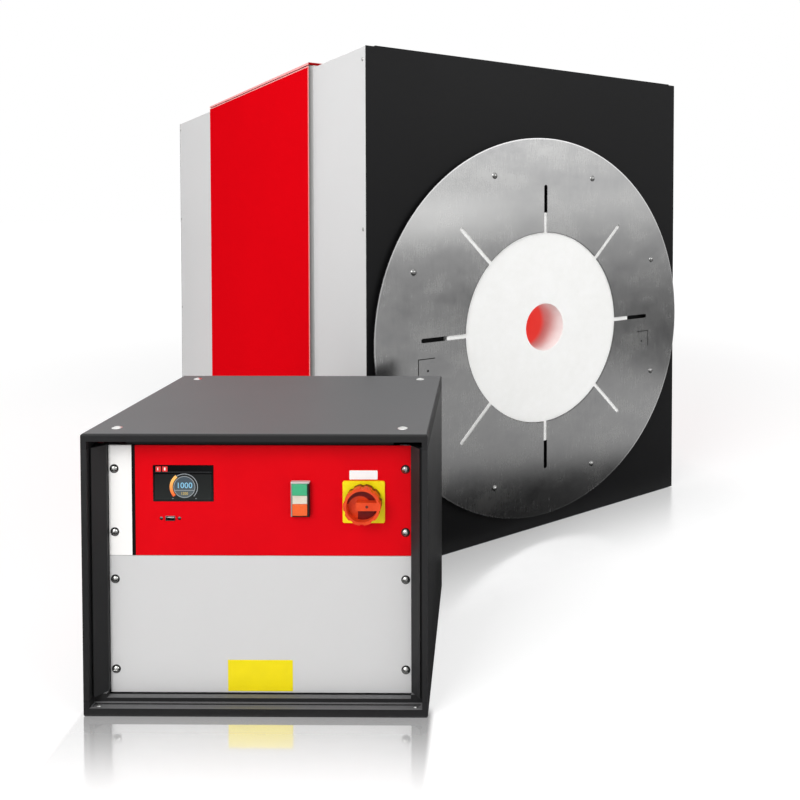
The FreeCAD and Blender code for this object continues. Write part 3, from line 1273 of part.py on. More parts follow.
def make_push_button():
    """Double push-button: housing, start button, lamp lens and stop button."""
    left = PANEL_LEFT + " + key_middle - key_width / 2"
    low = PANEL_TOP + " - key_drop - key_height / 2"
    front = "panel_recess - key_proud"
    frame = box("key_frame", ("key_width", "key_proud", "key_height"), (left, front, low))
    frame_round = rounded("key_frame_rounded", frame, v["key_round"],
                          lambda e: e.BoundBox.YMax < v["panel_recess"] - v["key_proud"] + 0.01)
    throat = box("key_throat", ("key_width - 2 * key_rim - 2 * fit_play", "panel_sheet",
                                "key_height - 2 * key_rim - 2 * fit_play"),
                 (left + " + key_rim + fit_play", "panel_recess", low + " + key_rim + fit_play"))
    rear = box("key_rear", ("key_width", "switch_block", "key_height - 2 * switch_edge"),
               (left, "panel_recess + panel_sheet", low + " + switch_edge"))
    room = "cap_length - cap_proud + key_travel + key_room"
    window = box("key_window", ("cap_width + 2 * fit_play", room,
                                "start_height + lamp_height + stop_height + 4 * fit_play"),
                 (left + " + (key_width - cap_width) / 2 - fit_play", front,
                  low + " + (key_height - start_height - lamp_height - stop_height) / 2 - 2 * fit_play"))
    moulding = fuse("key_moulding", [frame_round, throat, rear])
    node("button_housing", cut("button_housing", moulding, [window]), UNIT)
    cap_left = left + " + (key_width - cap_width) / 2"
    stop_low = low + " + (key_height - start_height - lamp_height - stop_height) / 2 - fit_play"
    lamp_low = stop_low + " + stop_height + fit_play"
    start_low = lamp_low + " + lamp_height + fit_play"
    for label, bottom, height, proud, length in (
        ("stop_button", stop_low, "stop_height", "cap_proud", "cap_length"),
        ("start_button", start_low, "start_height", "cap_proud", "cap_length"),
        ("lamp_lens", lamp_low, "lamp_height", "lens_proud", room + " + lens_proud"),
    ):
        blank = box(label + "_blank", ("cap_width", length, height),
                    (cap_left, "%s - %s" % (front, proud), bottom))
        face = number("%s - %s" % (front, proud))
        node(label, rounded(label, blank, v["cap_edge"], lambda e: e.BoundBox.YMax < face + 0.01), UNIT)


def make_isolator():
    """Main isolator: front plate, rotary handle with scalloped rim and grip bar, and the switch body."""
    x = PANEL_LEFT + " + knob_middle"
    z = PANEL_TOP + " - knob_drop"
    plate = box("plate_blank", ("plate_width", "plate_sheet", "plate_width"),
                (x + " - plate_width / 2", "panel_recess - plate_sheet", z + " - plate_width / 2"))
    plate_round = rounded("plate_rounded", plate, v["plate_round"],
                          lambda e: abs(e.BoundBox.YLength - v["plate_sheet"]) < 0.01)
    hole = rod("plate_hole", "shaft_radius + fit_play", "plate_sheet",
               (x, "panel_recess - plate_sheet", z), "Y")
    node("isolator_plate", cut("isolator_plate", plate_round, [hole]), UNIT)

    body = body_of("isolator_knob")
    rim = new_sketch(body, "knob_rim_shape", "XZ_Plane")
    circle(rim, "0", "0", "knob_radius")
    pad(body, "knob_blank", rim, "knob_height")
    scallop = new_sketch(body, "scallop_shape", "XZ_Plane")
    circle(scallop, "0", "knob_radius + scallop_out", "scallop_radius")
    first = pocket(body, "scallop", scallop, "knob_height")
    around(body, "scallops", [first], rim, int(v["scallop_count"]))
    dish = new_sketch(body, "dish_shape", "XZ_Plane")
    inner = v["knob_radius"] - v["knob_rim"]
    half = v["grip_width"] / 2
    reach = math.sqrt(inner ** 2 - half ** 2)
    corner = math.asin(half / inner)
    top_right, bottom_right = Vector(reach, half, 0), Vector(reach, -half, 0)
    top_left, bottom_left = Vector(-v["grip_start"], half, 0), Vector(-v["grip_start"], -half, 0)
    dish.addGeometry(Part.LineSegment(top_right, top_left), False)
    dish.addGeometry(Part.LineSegment(top_left, bottom_left), False)
    dish.addGeometry(Part.LineSegment(bottom_left, bottom_right), False)
    arc = Part.ArcOfCircle(Part.Circle(Vector(0, 0, 0), Vector(0, 0, 1), inner), corner, 2 * math.pi - corner)
    dish.addGeometry(arc, False)
    for a, b in ((0, 1), (1, 2)):
        dish.addConstraint(Sketcher.Constraint("Coincident", a, 2, b, 1))
    dish.addConstraint(Sketcher.Constraint("Coincident", 2, 2, 3, 2))
    dish.addConstraint(Sketcher.Constraint("Coincident", 3, 1, 0, 1))
    dish.addConstraint(Sketcher.Constraint("Coincident", 3, 3, -1, 1))
    dish.addConstraint(Sketcher.Constraint("Horizontal", 0))
    dish.addConstraint(Sketcher.Constraint("Vertical", 1))
    dish.addConstraint(Sketcher.Constraint("Horizontal", 2))
    for kind, args, text in (
        ("Radius", (3, inner), "knob_radius - knob_rim"),
        ("DistanceX", (-1, 1, 1, 1, -v["grip_start"]), "-grip_start"),
        ("DistanceY", (-1, 1, 0, 1, half), "grip_width / 2"),
        ("DistanceY", (-1, 1, 2, 1, -half), "-grip_width / 2"),
    ):
        index = dish.addConstraint(Sketcher.Constraint(kind, *args))
        dish.setExpression("Constraints[%d]" % index, rule(text))
    dish.AttachmentOffset = Placement(Vector(0, 0, v["knob_height"] - v["knob_dish"]), Rotation())
    pocket(body, "dish", dish, "knob_dish")
    shaft = new_sketch(body, "shaft_shape", "XZ_Plane")
    circle(shaft, "0", "0", "shaft_radius")
    pad(body, "shaft", shaft, "shaft_length", back=True)
    seat = Vector(number(x), v["panel_recess"] - v["plate_sheet"] - v["fit_play"], number(z))
    node("isolator_knob", body, UNIT.multiply(Placement(seat, Rotation())))

    back = "panel_recess + panel_sheet"
    switch = box("switch_blank", ("switch_width", "switch_depth", "switch_width"),
                 (x + " - switch_width / 2", back, z + " - switch_width / 2"))
    steps = [box("switch_step_%d" % i, ("switch_width", "switch_depth / 2", "switch_step"),
                 (x + " - switch_width / 2", back + " + switch_depth / 2", level))
             for i, level in enumerate((z + " - switch_width / 2", z + " + switch_width / 2 - switch_step"))]
    bore = rod("switch_bore", "shaft_radius + shaft_play", "shaft_length", (x, back, z), "Y")
    node("isolator_switch", cut("isolator_switch", switch, steps + [bore]), UNIT)


def make_rear_panel():
    """Rear panel with gland holes, an air inlet grille and the fan's guard slots."""
    plate = box("rear_plate", ("unit_width - 2 * side_wall", "shell_sheet", "unit_height - 2 * shell_sheet"),
                ("side_wall", "unit_depth - 2 * shell_sheet", "shell_sheet"))
    front = "unit_depth - 2 * shell_sheet"
    tools = [rod("rear_gland_hole_%d" % i, "gland_radius + hole_play", "shell_sheet",
                 (signed(x), front, "unit_gland_z"), "Y")
             for i, x in enumerate(unit_gland_spots())]
    for i in range(int(v["guard_count"])):
        offset = (i - (v["guard_count"] - 1) / 2) * v["guard_pitch"]
        reach = math.sqrt((v["fan_radius"] - v["guard_edge"]) ** 2 - offset ** 2)
        tools.append(box("guard_slot_%d" % i, ("guard_width", "shell_sheet", signed(2 * reach)),
                         (signed(v["fan_left"] + offset) + " - guard_width / 2", front,
                          "fan_height - " + signed(reach))))
    for i in range(int(v["inlet_count"])):
        tools.append(box("inlet_slot_%d" % i, ("inlet_length", "shell_sheet", "inlet_width"),
                         ("inlet_left", front, "unit_height - inlet_top - %d * inlet_pitch" % i)))
    node("rear_panel", cut("rear_panel", plate, tools), UNIT)


def make_fan():
    """Axial fan: square frame with duct, spokes and spindle, and the bladed rotor that turns on it."""
    front = "unit_depth - 2 * shell_sheet - fan_depth"
    frame = box("fan_blank", ("fan_width", "fan_depth", "fan_width"),
                ("fan_left - fan_width / 2", front, "fan_height - fan_width / 2"))
    duct = rod("fan_duct", "fan_radius", "fan_depth", ("fan_left", front, "fan_height"), "Y")
    ring = cut("fan_ring", frame, [duct])
    boss = rod("fan_boss", "hub_radius", "boss_depth", ("fan_left", front, "fan_height"), "Y")
    spindle = rod("fan_spindle", "spindle_radius", "spindle_length",
                  ("fan_left", front + " + boss_depth", "fan_height"), "Y")
    spoke = "2 * fan_radius + 2 * spoke_root"
    spokes = [box("fan_spoke_0", (spoke, "spoke_depth", "spoke_width"),
                  ("fan_left - fan_radius - spoke_root", front, "fan_height - spoke_width / 2")),
              box("fan_spoke_1", ("spoke_width", "spoke_depth", spoke),
                  ("fan_left - spoke_width / 2", front, "fan_height - fan_radius - spoke_root"))]
    node("fan_frame", fuse("fan_frame", [ring, boss, spindle] + spokes), UNIT)
    start = number(front + " + boss_depth + hub_gap")
    hub = Part.makeCylinder(v["hub_radius"], v["hub_depth"], Vector(0, 0, 0), Vector(0, 1, 0))
    bore = Part.makeCylinder(v["spindle_radius"] + v["shaft_play"], v["hub_depth"] - v["hub_end"],
                             Vector(0, 0, 0), Vector(0, 1, 0))
    hub = hub.cut(bore)
    root = v["hub_radius"] - v["blade_root"]
    chord, thick = v["blade_chord"], v["blade_sheet"]
    blade = Part.makeBox(chord, thick, v["fan_radius"] - v["blade_play"] - root,
                         Vector(-chord / 2, -thick / 2, root))
    blade.rotate(Vector(0, 0, 0), Vector(0, 0, 1), v["blade_pitch"])
    blade.translate(Vector(0, v["hub_depth"] / 2, 0))
    blades = []
    for i in range(int(v["blade_count"])):
        copy = blade.copy()
        copy.rotate(Vector(0, 0, 0), Vector(0, 1, 0), 360 * i / v["blade_count"])
        blades.append(copy)
    limit = Part.makeCylinder(v["fan_radius"] - v["blade_play"], v["hub_depth"],
                              Vector(0, 0, 0), Vector(0, 1, 0))
    rotor = hub.multiFuse(blades).common(limit).removeSplitter()
    spot = UNIT.multiply(Placement(Vector(v["fan_left"], start, v["fan_height"]), Rotation()))
    node("fan_rotor", copies("fan_rotor", rotor, [spot]))


def make_power_parts():
    """Thyristor stack on its finned heat sink, transformer and contactor, on the unit's floor."""
    body = body_of("heat_sink")
    comb = new_sketch(body, "comb_section", "XY_Plane")
    points = [("0", "0"), ("fin_pitch * (fin_count - 1) + fin_sheet", "0")]
    for i in range(int(v["fin_count"]) - 1, -1, -1):
        left = "%d * fin_pitch" % i
        points.append((left + " + fin_sheet", "fin_height"))
        points.append((left, "fin_height"))
        if i:
            points.append((left, "sink_base"))
            points.append(("%d * fin_pitch + fin_sheet" % (i - 1), "sink_base"))
    outline(comb, points)
    pad(body, "comb_length", comb, "sink_length")
    sink = "unit_depth - 2 * shell_sheet - fan_depth - sink_room - fin_height"
    place(body, "sink_left", sink, "shell_sheet")
    modules = [box("thyristor_module_%d" % i, ("thyristor_width", "thyristor_depth", "thyristor_height"),
                   ("sink_left + thyristor_edge", sink + " - thyristor_depth",
                    "shell_sheet + thyristor_low + %d * thyristor_pitch" % i))
               for i in range(2)]
    node("thyristor_unit", group("thyristor_unit", [body] + modules), UNIT)

    core_blank = box("core_blank", ("core_width", "core_depth", "core_height"),
                     ("core_left", "core_front", "shell_sheet"))
    windows = [box("core_window_%d" % i, ("core_leg", "core_depth", "core_height - 2 * core_leg"),
                   (x, "core_front", "shell_sheet + core_leg"))
               for i, x in enumerate(("core_left + core_leg", "core_left + core_width - 2 * core_leg"))]
    core = cut("transformer_core", core_blank, windows)
    coil_low, coil_height = "shell_sheet + core_leg + coil_play", "core_height - 2 * core_leg - 2 * coil_play"
    coil_front = "core_front - (coil_depth - core_depth) / 2"
    coil_blank = box("coil_blank", ("core_width - 2 * core_leg - 2 * coil_play", "coil_depth", coil_height),
                     ("core_left + core_leg + coil_play", coil_front, coil_low))
    coil_hole = box("coil_hole",
                    ("core_width - 4 * core_leg + 2 * leg_play", "core_depth + 2 * leg_play", coil_height),
                    ("core_left + 2 * core_leg - leg_play", "core_front - leg_play", coil_low))
    coil = cut("transformer_coil", coil_blank, [coil_hole])
    node("transformer", group("transformer", [core, coil]), UNIT)

    lower = box("contactor_lower", ("contactor_width", "contactor_base", "contactor_height"),
                ("contactor_left", "contactor_back", "shell_sheet"))
    upper = box("contactor_upper",
                ("contactor_width", "contactor_nose", "contactor_height - 2 * contactor_step"),
                ("contactor_left", "contactor_back - contactor_nose", "shell_sheet + contactor_step"))
    node("contactor", fuse("contactor", [lower, upper]), UNIT)


def build():
    make_base_frame()
    make_upright_frame()
    make_end_panel("front_end_panel", False)
    make_end_panel("rear_end_panel", True)
    make_side_panel("left_front_panel", True, True)
    make_side_panel("left_rear_panel", True, False)
    make_side_panel("right_front_panel", False, True)
    make_side_panel("right_rear_panel", False, False)
    make_side_cover("left_cover", True)
    make_side_cover("right_cover", False)
    make_roof_panel("top_front_panel", True)
    make_roof_panel("top_rear_panel", False)
    make_roof_cover()
    make_casing_screws()
    make_end_disc("front_disc", False)
    make_end_disc("rear_disc", True)
    make_disc_fasteners()
    make_end_insulation("front", False)
    make_end_insulation("rear", True)
    make_chamber_insulation()
    make_hot_box_case()
    make_elements()
    make_holders()
    make_straps()
    make_terminal_block()
    make_thermocouples()
    make_unit_covers()
    make_side_profile("left_side_profile", False)
    make_side_profile("right_side_profile", True)
    make_rack_angles()
    make_panels()
    make_panel_screws()
    make_display()
    make_port()
    make_push_button()
    make_isolator()
    make_rear_panel()
    make_glands()
    make_fan()
    make_power_parts()
    doc.removeObject(workings.Name)
    doc.recompute()


def check_and_export():
    """Stop on any failed feature or bad shape, then write one file for each sub-part."""
    for item in doc.Objects:
        if "Invalid" in item.State or "Error" in item.State:
            raise RuntimeError("%s failed: %s" % (item.Name, item.State))
    for item in NODES:
        if item.Shape.isNull() or not item.Shape.isValid() or not item.Shape.Solids:
            raise RuntimeError("bad shape: " + item.Label)
    labels = [item.Label for item in NODES]
    if len(set(labels)) != len(labels):
        raise RuntimeError("two sub-parts share a name")
    os.makedirs("parts", exist_ok=True)
    for item in NODES:
        item.Shape.exportStep(os.path.join("parts", item.Label + ".step"))
    print(len(NODES), "sub-parts written")


build()
check_and_export()
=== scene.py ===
import math

import bmesh
import bpy
from mathutils import Matrix, Vector


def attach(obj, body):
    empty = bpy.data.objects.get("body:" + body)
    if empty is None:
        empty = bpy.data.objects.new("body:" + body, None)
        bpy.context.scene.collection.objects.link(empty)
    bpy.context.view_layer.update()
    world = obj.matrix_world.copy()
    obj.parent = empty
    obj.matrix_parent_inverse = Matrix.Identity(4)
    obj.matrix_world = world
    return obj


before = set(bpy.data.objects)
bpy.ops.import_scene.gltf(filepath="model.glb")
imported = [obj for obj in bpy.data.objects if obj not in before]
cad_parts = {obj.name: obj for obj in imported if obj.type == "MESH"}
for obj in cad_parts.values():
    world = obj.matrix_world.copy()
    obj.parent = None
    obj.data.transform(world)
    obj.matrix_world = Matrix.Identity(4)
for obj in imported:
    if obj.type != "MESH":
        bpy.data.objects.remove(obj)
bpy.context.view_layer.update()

# Looks of a horizontal tube furnace and its control unit: finishes, display, plates, light and camera.
# Lengths are in metres. The control unit has a frame of its own: u along its front, w into its depth, z up.

# Places and sizes that the shaders, the added pieces and the floor need
TUBE_AXIS = 0.502
BORE_RADIUS = 0.0585
BOARD_FACE = 0.9055
BOARD_BACK = 0.8225
UNIT_CORNER = (-1.031, -1.040, 0.0)
UNIT_TURN = math.radians(-34)
COVER_FRONT = -0.5925
COVER_SIDE = 0.487
COVER_TOP = 1.144
DISC_RADIUS = 0.465
DISC_HOLE = 0.234
PANEL_LEFT = 0.0287
PANEL_TOP = 0.4185
PANEL_FACE = 0.030
SCREEN_FACE = 0.0294
KNOB_FACE = 0.0077
KNOB_U = PANEL_LEFT + 0.4076
KNOB_Z = PANEL_TOP - 0.0895
KEY_U = PANEL_LEFT + 0.3072
KEY_Z = PANEL_TOP - 0.084
KEY_WIDTH = 0.0294
KEY_HEIGHT = 0.0558
GREY_PANEL_TOP = 0.2407
STRIP_WIDTH = 0.0366
STRIP_LINE = 0.0057
SOCKET_Z = PANEL_TOP - 0.1177
FURNACE_WIDTH = 0.950
FURNACE_LENGTH = 1.785
UNIT_WIDTH = 0.540
UNIT_DEPTH = 0.400

UNIT = Matrix.Translation(UNIT_CORNER) @ Matrix.Rotation(UNIT_TURN, 4, "Z")


def linear(level):
    """A colour level written as 0 to 255, as the linear level that the shaders take."""
    if level < 11:
        return level / 255 / 12.92
    return ((level / 255 + 0.055) / 1.055) ** 2.4


def rgb(red, green, blue):
    """A colour written as 0 to 255, as the shaders take it."""
    return (linear(red), linear(green), linear(blue), 1)


class Finish:
    """A material and short ways to build its nodes. A value is a number, a colour or a node's output."""

    def __init__(self, name, empty=False, **sockets):
        self.material = bpy.data.materials.new(name)
        self.material.use_nodes = True
        self.tree = self.material.node_tree
        if empty:
            self.tree.nodes.clear()
            return
        self.shader = self.tree.nodes["Principled BSDF"]
        for socket, value in sockets.items():
            self.set(socket.replace("_", " "), value)

    def feed(self, socket, value):
        """Link a node's output to a socket, or write a plain value on it."""
        if isinstance(value, bpy.types.NodeSocket):
            self.tree.links.new(value, socket)
        else:
            socket.default_value = value

    def set(self, socket, value):
        """One socket of the material's shader."""
        self.feed(self.shader.inputs[socket], value)

    def colour(self):
        """The colour that feeds the material's shader so far."""
        return self.shader.inputs["Base Color"].links[0].from_socket

    def node(self, kind, inputs=(), **settings):
        """A new node of a kind, with its inputs and its settings."""
        made = self.tree.nodes.new("ShaderNode" + kind)
        for key, value in settings.items():
            setattr(made, key, value)
        for key, value in dict(inputs).items():
            self.feed(made.inputs[key], value)
        return made

    def math(self, operation, *values):
        """One arithmetic step on one or two values."""
        return self.node("Math", enumerate(values), operation=operation).outputs[0]

    def length(self, first, second):
        """The long side of a right triangle with these two short sides."""
        squares = [self.math("POWER", side, 2) for side in (first, second)]
        return self.math("SQRT", self.math("ADD", *squares))

    def weighted(self, *layers):
        """A sum of values, each times its own share."""
        total = 0.0
        for value, share in layers:
            total = self.math("ADD", total, self.math("MULTIPLY", value, share))
        return total

    def place(self, stretch=(1, 1, 1), unit=False):
        """The point's place, in the part's frame or the control unit's, then stretched."""
        where = self.node("TexCoord").outputs["Object"]
        if unit:
            turned = {"Vector": where, "Location": UNIT_CORNER, "Rotation": (0, 0, UNIT_TURN)}
            where = self.node("Mapping", turned, vector_type="TEXTURE").outputs[0]
        if stretch != (1, 1, 1):
            where = self.node("Mapping", {"Vector": where, "Scale": stretch}).outputs[0]
        return where

    def axes(self, unit=False):
        """The point's place as three numbers."""
        return self.node("SeparateXYZ", {0: self.place(unit=unit)}).outputs

    def noise(self, scale, detail=2.0, rough=0.5, stretch=(1, 1, 1), unit=False):
        """Noise from 0 to 1, with this many waves to the metre."""
        inputs = {"Vector": self.place(stretch, unit), "Scale": scale, "Detail": detail, "Roughness": rough}
        return self.node("TexNoise", inputs).outputs["Fac"]

    def span(self, value, low, high, to_low=0.0, to_high=1.0, smooth=False):
        """A value's range brought to another range, and held inside it."""
        inputs = {"Value": value, "From Min": low, "From Max": high}
        inputs.update({"To Min": to_low, "To Max": to_high})
        kind = "SMOOTHSTEP" if smooth else "LINEAR"
        return self.node("MapRange", inputs, interpolation_type=kind, clamp=True).outputs[0]

    def blend(self, share, first, second):
        """From the first colour at 0 to the second at 1."""
        made = self.node("Mix", data_type="RGBA")
        for index, value in ((0, share), (6, first), (7, second)):
            self.feed(made.inputs[index], value)
        return made.outputs[2]

    def relief(self, *layers):
        """Bump layers, each a height from 0 to 1 and its depth in metres."""
        normal = None
        for height, depth in layers:
            inputs = {"Height": height, "Distance": depth, "Strength": 1.0}
            if normal is not None:
                inputs["Normal"] = normal
            normal = self.node("Bump", inputs).outputs[0]
        self.set("Normal", normal)


def tone(colour, factor):
    """A colour made lighter or darker."""
    return tuple(min(1.0, c * factor) for c in colour[:3]) + (1,)


def coated(name, colour, gloss, peel=(420, 0.00003), grain=(2600, 0.000006), drift=0.05, level=0.5):
    """Powder coat: orange peel, fine grain, and a slow drift of colour and gloss."""
    f = Finish(name, Specular_IOR_Level=level)
    slow = f.noise(2.3, 3, 0.55)
    fine = f.noise(grain[0], 2, 0.6)
    peeled = f.noise(peel[0], 1, 0.5)
    base = f.blend(f.span(slow, 0.3, 0.7), tone(colour, 1 - drift), tone(colour, 1 + drift))
    f.set("Base Color", f.blend(f.span(fine, 0.35, 0.75, 0, 0.12), base, tone(colour, 0.8)))
    uneven = f.weighted((slow, 1.0), (fine, 0.3))
    f.set("Roughness", f.span(uneven, 0.4, 0.9, gloss - 0.05, gloss + 0.06))
    f.relief((peeled, peel[1]), (fine, grain[1]))
    return f


def charcoal_coat():
    """Charcoal textured paint, with painted light making the faces that look up paler."""
    f = coated("charcoal_texture", rgb(33, 33, 34), 0.6, (900, 0.00007), (2400, 0.00003), 0.08, 0.25)
    up = f.node("SeparateXYZ", {0: f.node("NewGeometry").outputs["True Normal"]}).outputs[2]
    fine = f.noise(1700, 3, 0.6)
    # Painted light: faces that look up are given a paler colour, standing in for the light on the top.
    pale = f.blend(f.span(fine, 0.35, 0.65), rgb(98, 98, 99), rgb(112, 112, 113))
    f.set("Base Color", f.blend(f.span(up, 0.75, 0.97), f.colour(), pale))
    return f


def red_coat():
    """Powder coat of the red covers, with painted highlights along the folded edges, and painted shade on
    the front end.
    """
    f = coated("red_powder_coat", rgb(226, 6, 19), 0.5, drift=0.02, level=0.0)
    x, y, z = f.axes()
    wide = f.math("ABSOLUTE", x)
    # Painted highlight along the rounded front edge of each side cover.
    painted_fold_highlight = f.span(y, COVER_FRONT + 0.0025, COVER_FRONT + 0.009, 0.55, 0.0, smooth=True)
    # Painted highlight along the top edge, where a side cover meets the top cover.
    near_top = f.math("GREATER_THAN", z, COVER_TOP - 0.0035)
    near_side = f.math("GREATER_THAN", wide, COVER_SIDE - 0.012)
    rim = f.math("MULTIPLY", f.math("MULTIPLY", near_top, near_side), 0.75)
    base = f.blend(f.math("MAXIMUM", painted_fold_highlight, rim), f.colour(), rgb(255, 196, 194))
    # Painted shade on the front end: grey for the shaded gap under a side cover, darkest at its outer face,
    # and dark red on the top cover's end.
    painted_gap_shade_ramp = f.span(wide, COVER_SIDE, COVER_SIDE - 0.013)
    shade = f.blend(painted_gap_shade_ramp, rgb(96, 92, 90), rgb(206, 206, 205))
    shade = f.blend(f.math("GREATER_THAN", z, COVER_TOP + 0.001), shade, rgb(150, 14, 14))
    end = f.math("LESS_THAN", y, COVER_FRONT + 0.0006)
    f.set("Base Color", f.blend(end, base, shade))
    return f


def moulded(name, colour, gloss, texture=(1800, 0.00001), drift=0.06, unit=True, **sockets):
    """Moulded plastic: faint flow marks and a fine mould texture."""
    f = Finish(name, **sockets)
    flow = f.noise(45, 3, 0.6, unit=unit)
    fine = f.noise(texture[0], 2, 0.6, unit=unit)
    f.set("Base Color", f.blend(f.span(flow, 0.3, 0.7), tone(colour, 1 - drift), tone(colour, 1 + drift)))
    f.set("Roughness", f.span(fine, 0.3, 0.7, gloss - 0.05, gloss + 0.07))
    f.relief((fine, texture[1]), (flow, 0.00002))
    return f


def bright_metal(name, colour, gloss, lines=(0.03, 1, 1), scale=1600, drift=0.1, unit=False):
    """Turned, drawn or plated metal: fine lines along one axis and cloudy patches."""
    f = Finish(name, Metallic=1.0)
    scratch = f.noise(scale, 4, 0.6, lines, unit)
    cloud = f.noise(28, 3, 0.6, unit=unit)
    level = f.weighted((scratch, 0.6), (cloud, 0.4))
    f.set("Base Color", f.blend(f.span(level, 0.35, 0.65), tone(colour, 1 - drift), tone(colour, 1 + drift)))
    f.set("Roughness", f.span(level, 0.3, 0.7, gloss - 0.06, gloss + 0.09))
    f.relief((scratch, 0.000008))
    return f


def brushed_disc():
    """Stainless sheet: vertical grain and faint stains, with a painted highlight band across the upper left,
    a painted highlight on the outer rim and a painted shade ring round the board.
    """
    f = Finish("stainless_brushed", Metallic=1.0, Anisotropic=0.4)
    hair = f.noise(1400, 3, 0.65, (1, 1, 0.03))
    streak = f.noise(110, 4, 0.6, (1, 1, 0.16))
    stain = f.noise(9, 4, 0.6, (1, 1, 1.6))
    mixed = f.weighted((hair, 0.30), (streak, 0.16), (stain, 0.54))
    x, _, z = f.axes()
    high = f.math("SUBTRACT", z, TUBE_AXIS)
    radius = f.length(x, high)
    base = f.blend(f.span(mixed, 0.34, 0.66), rgb(174, 174, 175), rgb(198, 198, 197))
    # Painted highlight: a bright band above the tube axis, strongest on the left.
    highlight_band_height = f.math("ADD", 0.285, f.math("MULTIPLY", x, 0.05))
    off_highlight_band = f.math("ABSOLUTE", f.math("SUBTRACT", high, highlight_band_height))
    band = f.span(off_highlight_band, 0.01, 0.09, 0.75, 0.0, smooth=True)
    band = f.math("MULTIPLY", band, f.span(x, -0.36, 0.05, 1.0, 0.2, smooth=True))
    base = f.blend(band, base, rgb(238, 238, 237))
    # Painted highlight along the outer rim.
    rim = f.span(radius, DISC_RADIUS - 0.0035, DISC_RADIUS - 0.0015, 0.0, 0.8)
    base = f.blend(rim, base, rgb(250, 250, 250))
    # Painted shade: a dark ring round the hole, at the board's edge.
    edge = f.span(radius, DISC_HOLE + 0.0016, DISC_HOLE + 0.0006, 0.0, 0.8)
    f.set("Base Color", f.blend(edge, base, rgb(96, 96, 97)))
    f.set("Roughness", f.span(mixed, 0.35, 0.65, 0.21, 0.30))
    f.relief((hair, 0.000004), (streak, 0.000003))
    return f


def insulation(name, glow):
    """White fibre board with a felted face; with glow, the bore is red-hot behind the outer board, and its
    wall in the outer board is given a painted pink glow.
    """
    f = Finish(name, Roughness=0.92, Specular_IOR_Level=0.15)
    felt = f.noise(520, 5, 0.7)
    tuft = f.noise(60, 4, 0.6)
    cloud = f.noise(6, 3, 0.6)
    patches = f.weighted((cloud, 0.6), (tuft, 0.4))
    base = f.blend(f.span(patches, 0.35, 0.65), rgb(246, 246, 244), rgb(252, 252, 251))
    base = f.blend(f.span(felt, 0.30, 0.62, 0.10, 0.0), base, rgb(214, 212, 206))
    f.set("Base Color", base)
    f.relief((felt, 0.00010), (tuft, 0.00012))
    if glow:
        x, y, z = f.axes()
        depth = f.math("ABSOLUTE", y)
        radius = f.length(x, f.math("SUBTRACT", z, TUBE_AXIS))
        wall = f.math("LESS_THAN", radius, BORE_RADIUS + 0.002)
        hot = f.span(depth, BOARD_BACK + 0.016, BOARD_BACK - 0.010, smooth=True)
        # Painted glow: deeper in the outer board the bore wall turns pink and gives off a faint light, as if
        # lit by the hot part.
        painted_warm_glow = f.span(depth, BOARD_FACE - 0.022, BOARD_BACK, smooth=True)
        skin = f.blend(hot, rgb(226, 190, 188), rgb(200, 84, 78))
        f.set("Base Color", f.blend(f.math("MULTIPLY", wall, painted_warm_glow), base, skin))
        f.set("Emission Color", f.blend(hot, rgb(226, 130, 126), rgb(234, 74, 66)))
        hot_and_painted_glow = f.weighted((painted_warm_glow, 0.03), (hot, 0.40))
        f.set("Emission Strength", f.math("MULTIPLY", wall, hot_and_painted_glow))
    return f


def red_front():
    """Red panel film with its bare white strip and black line down the left side."""
    f = Finish("panel_red_film", Specular_IOR_Level=0.04)
    u = f.axes(unit=True)[0]
    fine = f.noise(1400, 2, 0.6, unit=True)
    slow = f.noise(6, 3, 0.6, unit=True)
    red = f.blend(f.span(slow, 0.3, 0.7), rgb(214, 3, 18), rgb(224, 4, 18))
    strip = f.math("LESS_THAN", u, PANEL_LEFT + STRIP_WIDTH)
    line = f.math("LESS_THAN", u, PANEL_LEFT + STRIP_WIDTH + STRIP_LINE)
    base = f.blend(line, red, rgb(22, 20, 20))
    f.set("Base Color", f.blend(strip, base, rgb(246, 245, 243)))
    f.set("Roughness", f.span(fine, 0.3, 0.7, 0.38, 0.48))
    f.relief((fine, 0.000008))
    return f


def screen_glass():
    """Display window: dark behind gloss, with a lighter lower part."""
    f = Finish("display_window", Coat_Weight=0.2, Coat_Roughness=0.03, Specular_IOR_Level=0.3)
    z = f.axes(unit=True)[2]
    dust = f.noise(300, 4, 0.6, unit=True)
    high = f.span(z, PANEL_TOP - 0.088, PANEL_TOP - 0.046)
    f.set("Base Color", f.blend(high, rgb(34, 36, 36), rgb(6, 6, 7)))
    f.set("Roughness", f.span(dust, 0.4, 0.8, 0.05, 0.12))
    return f


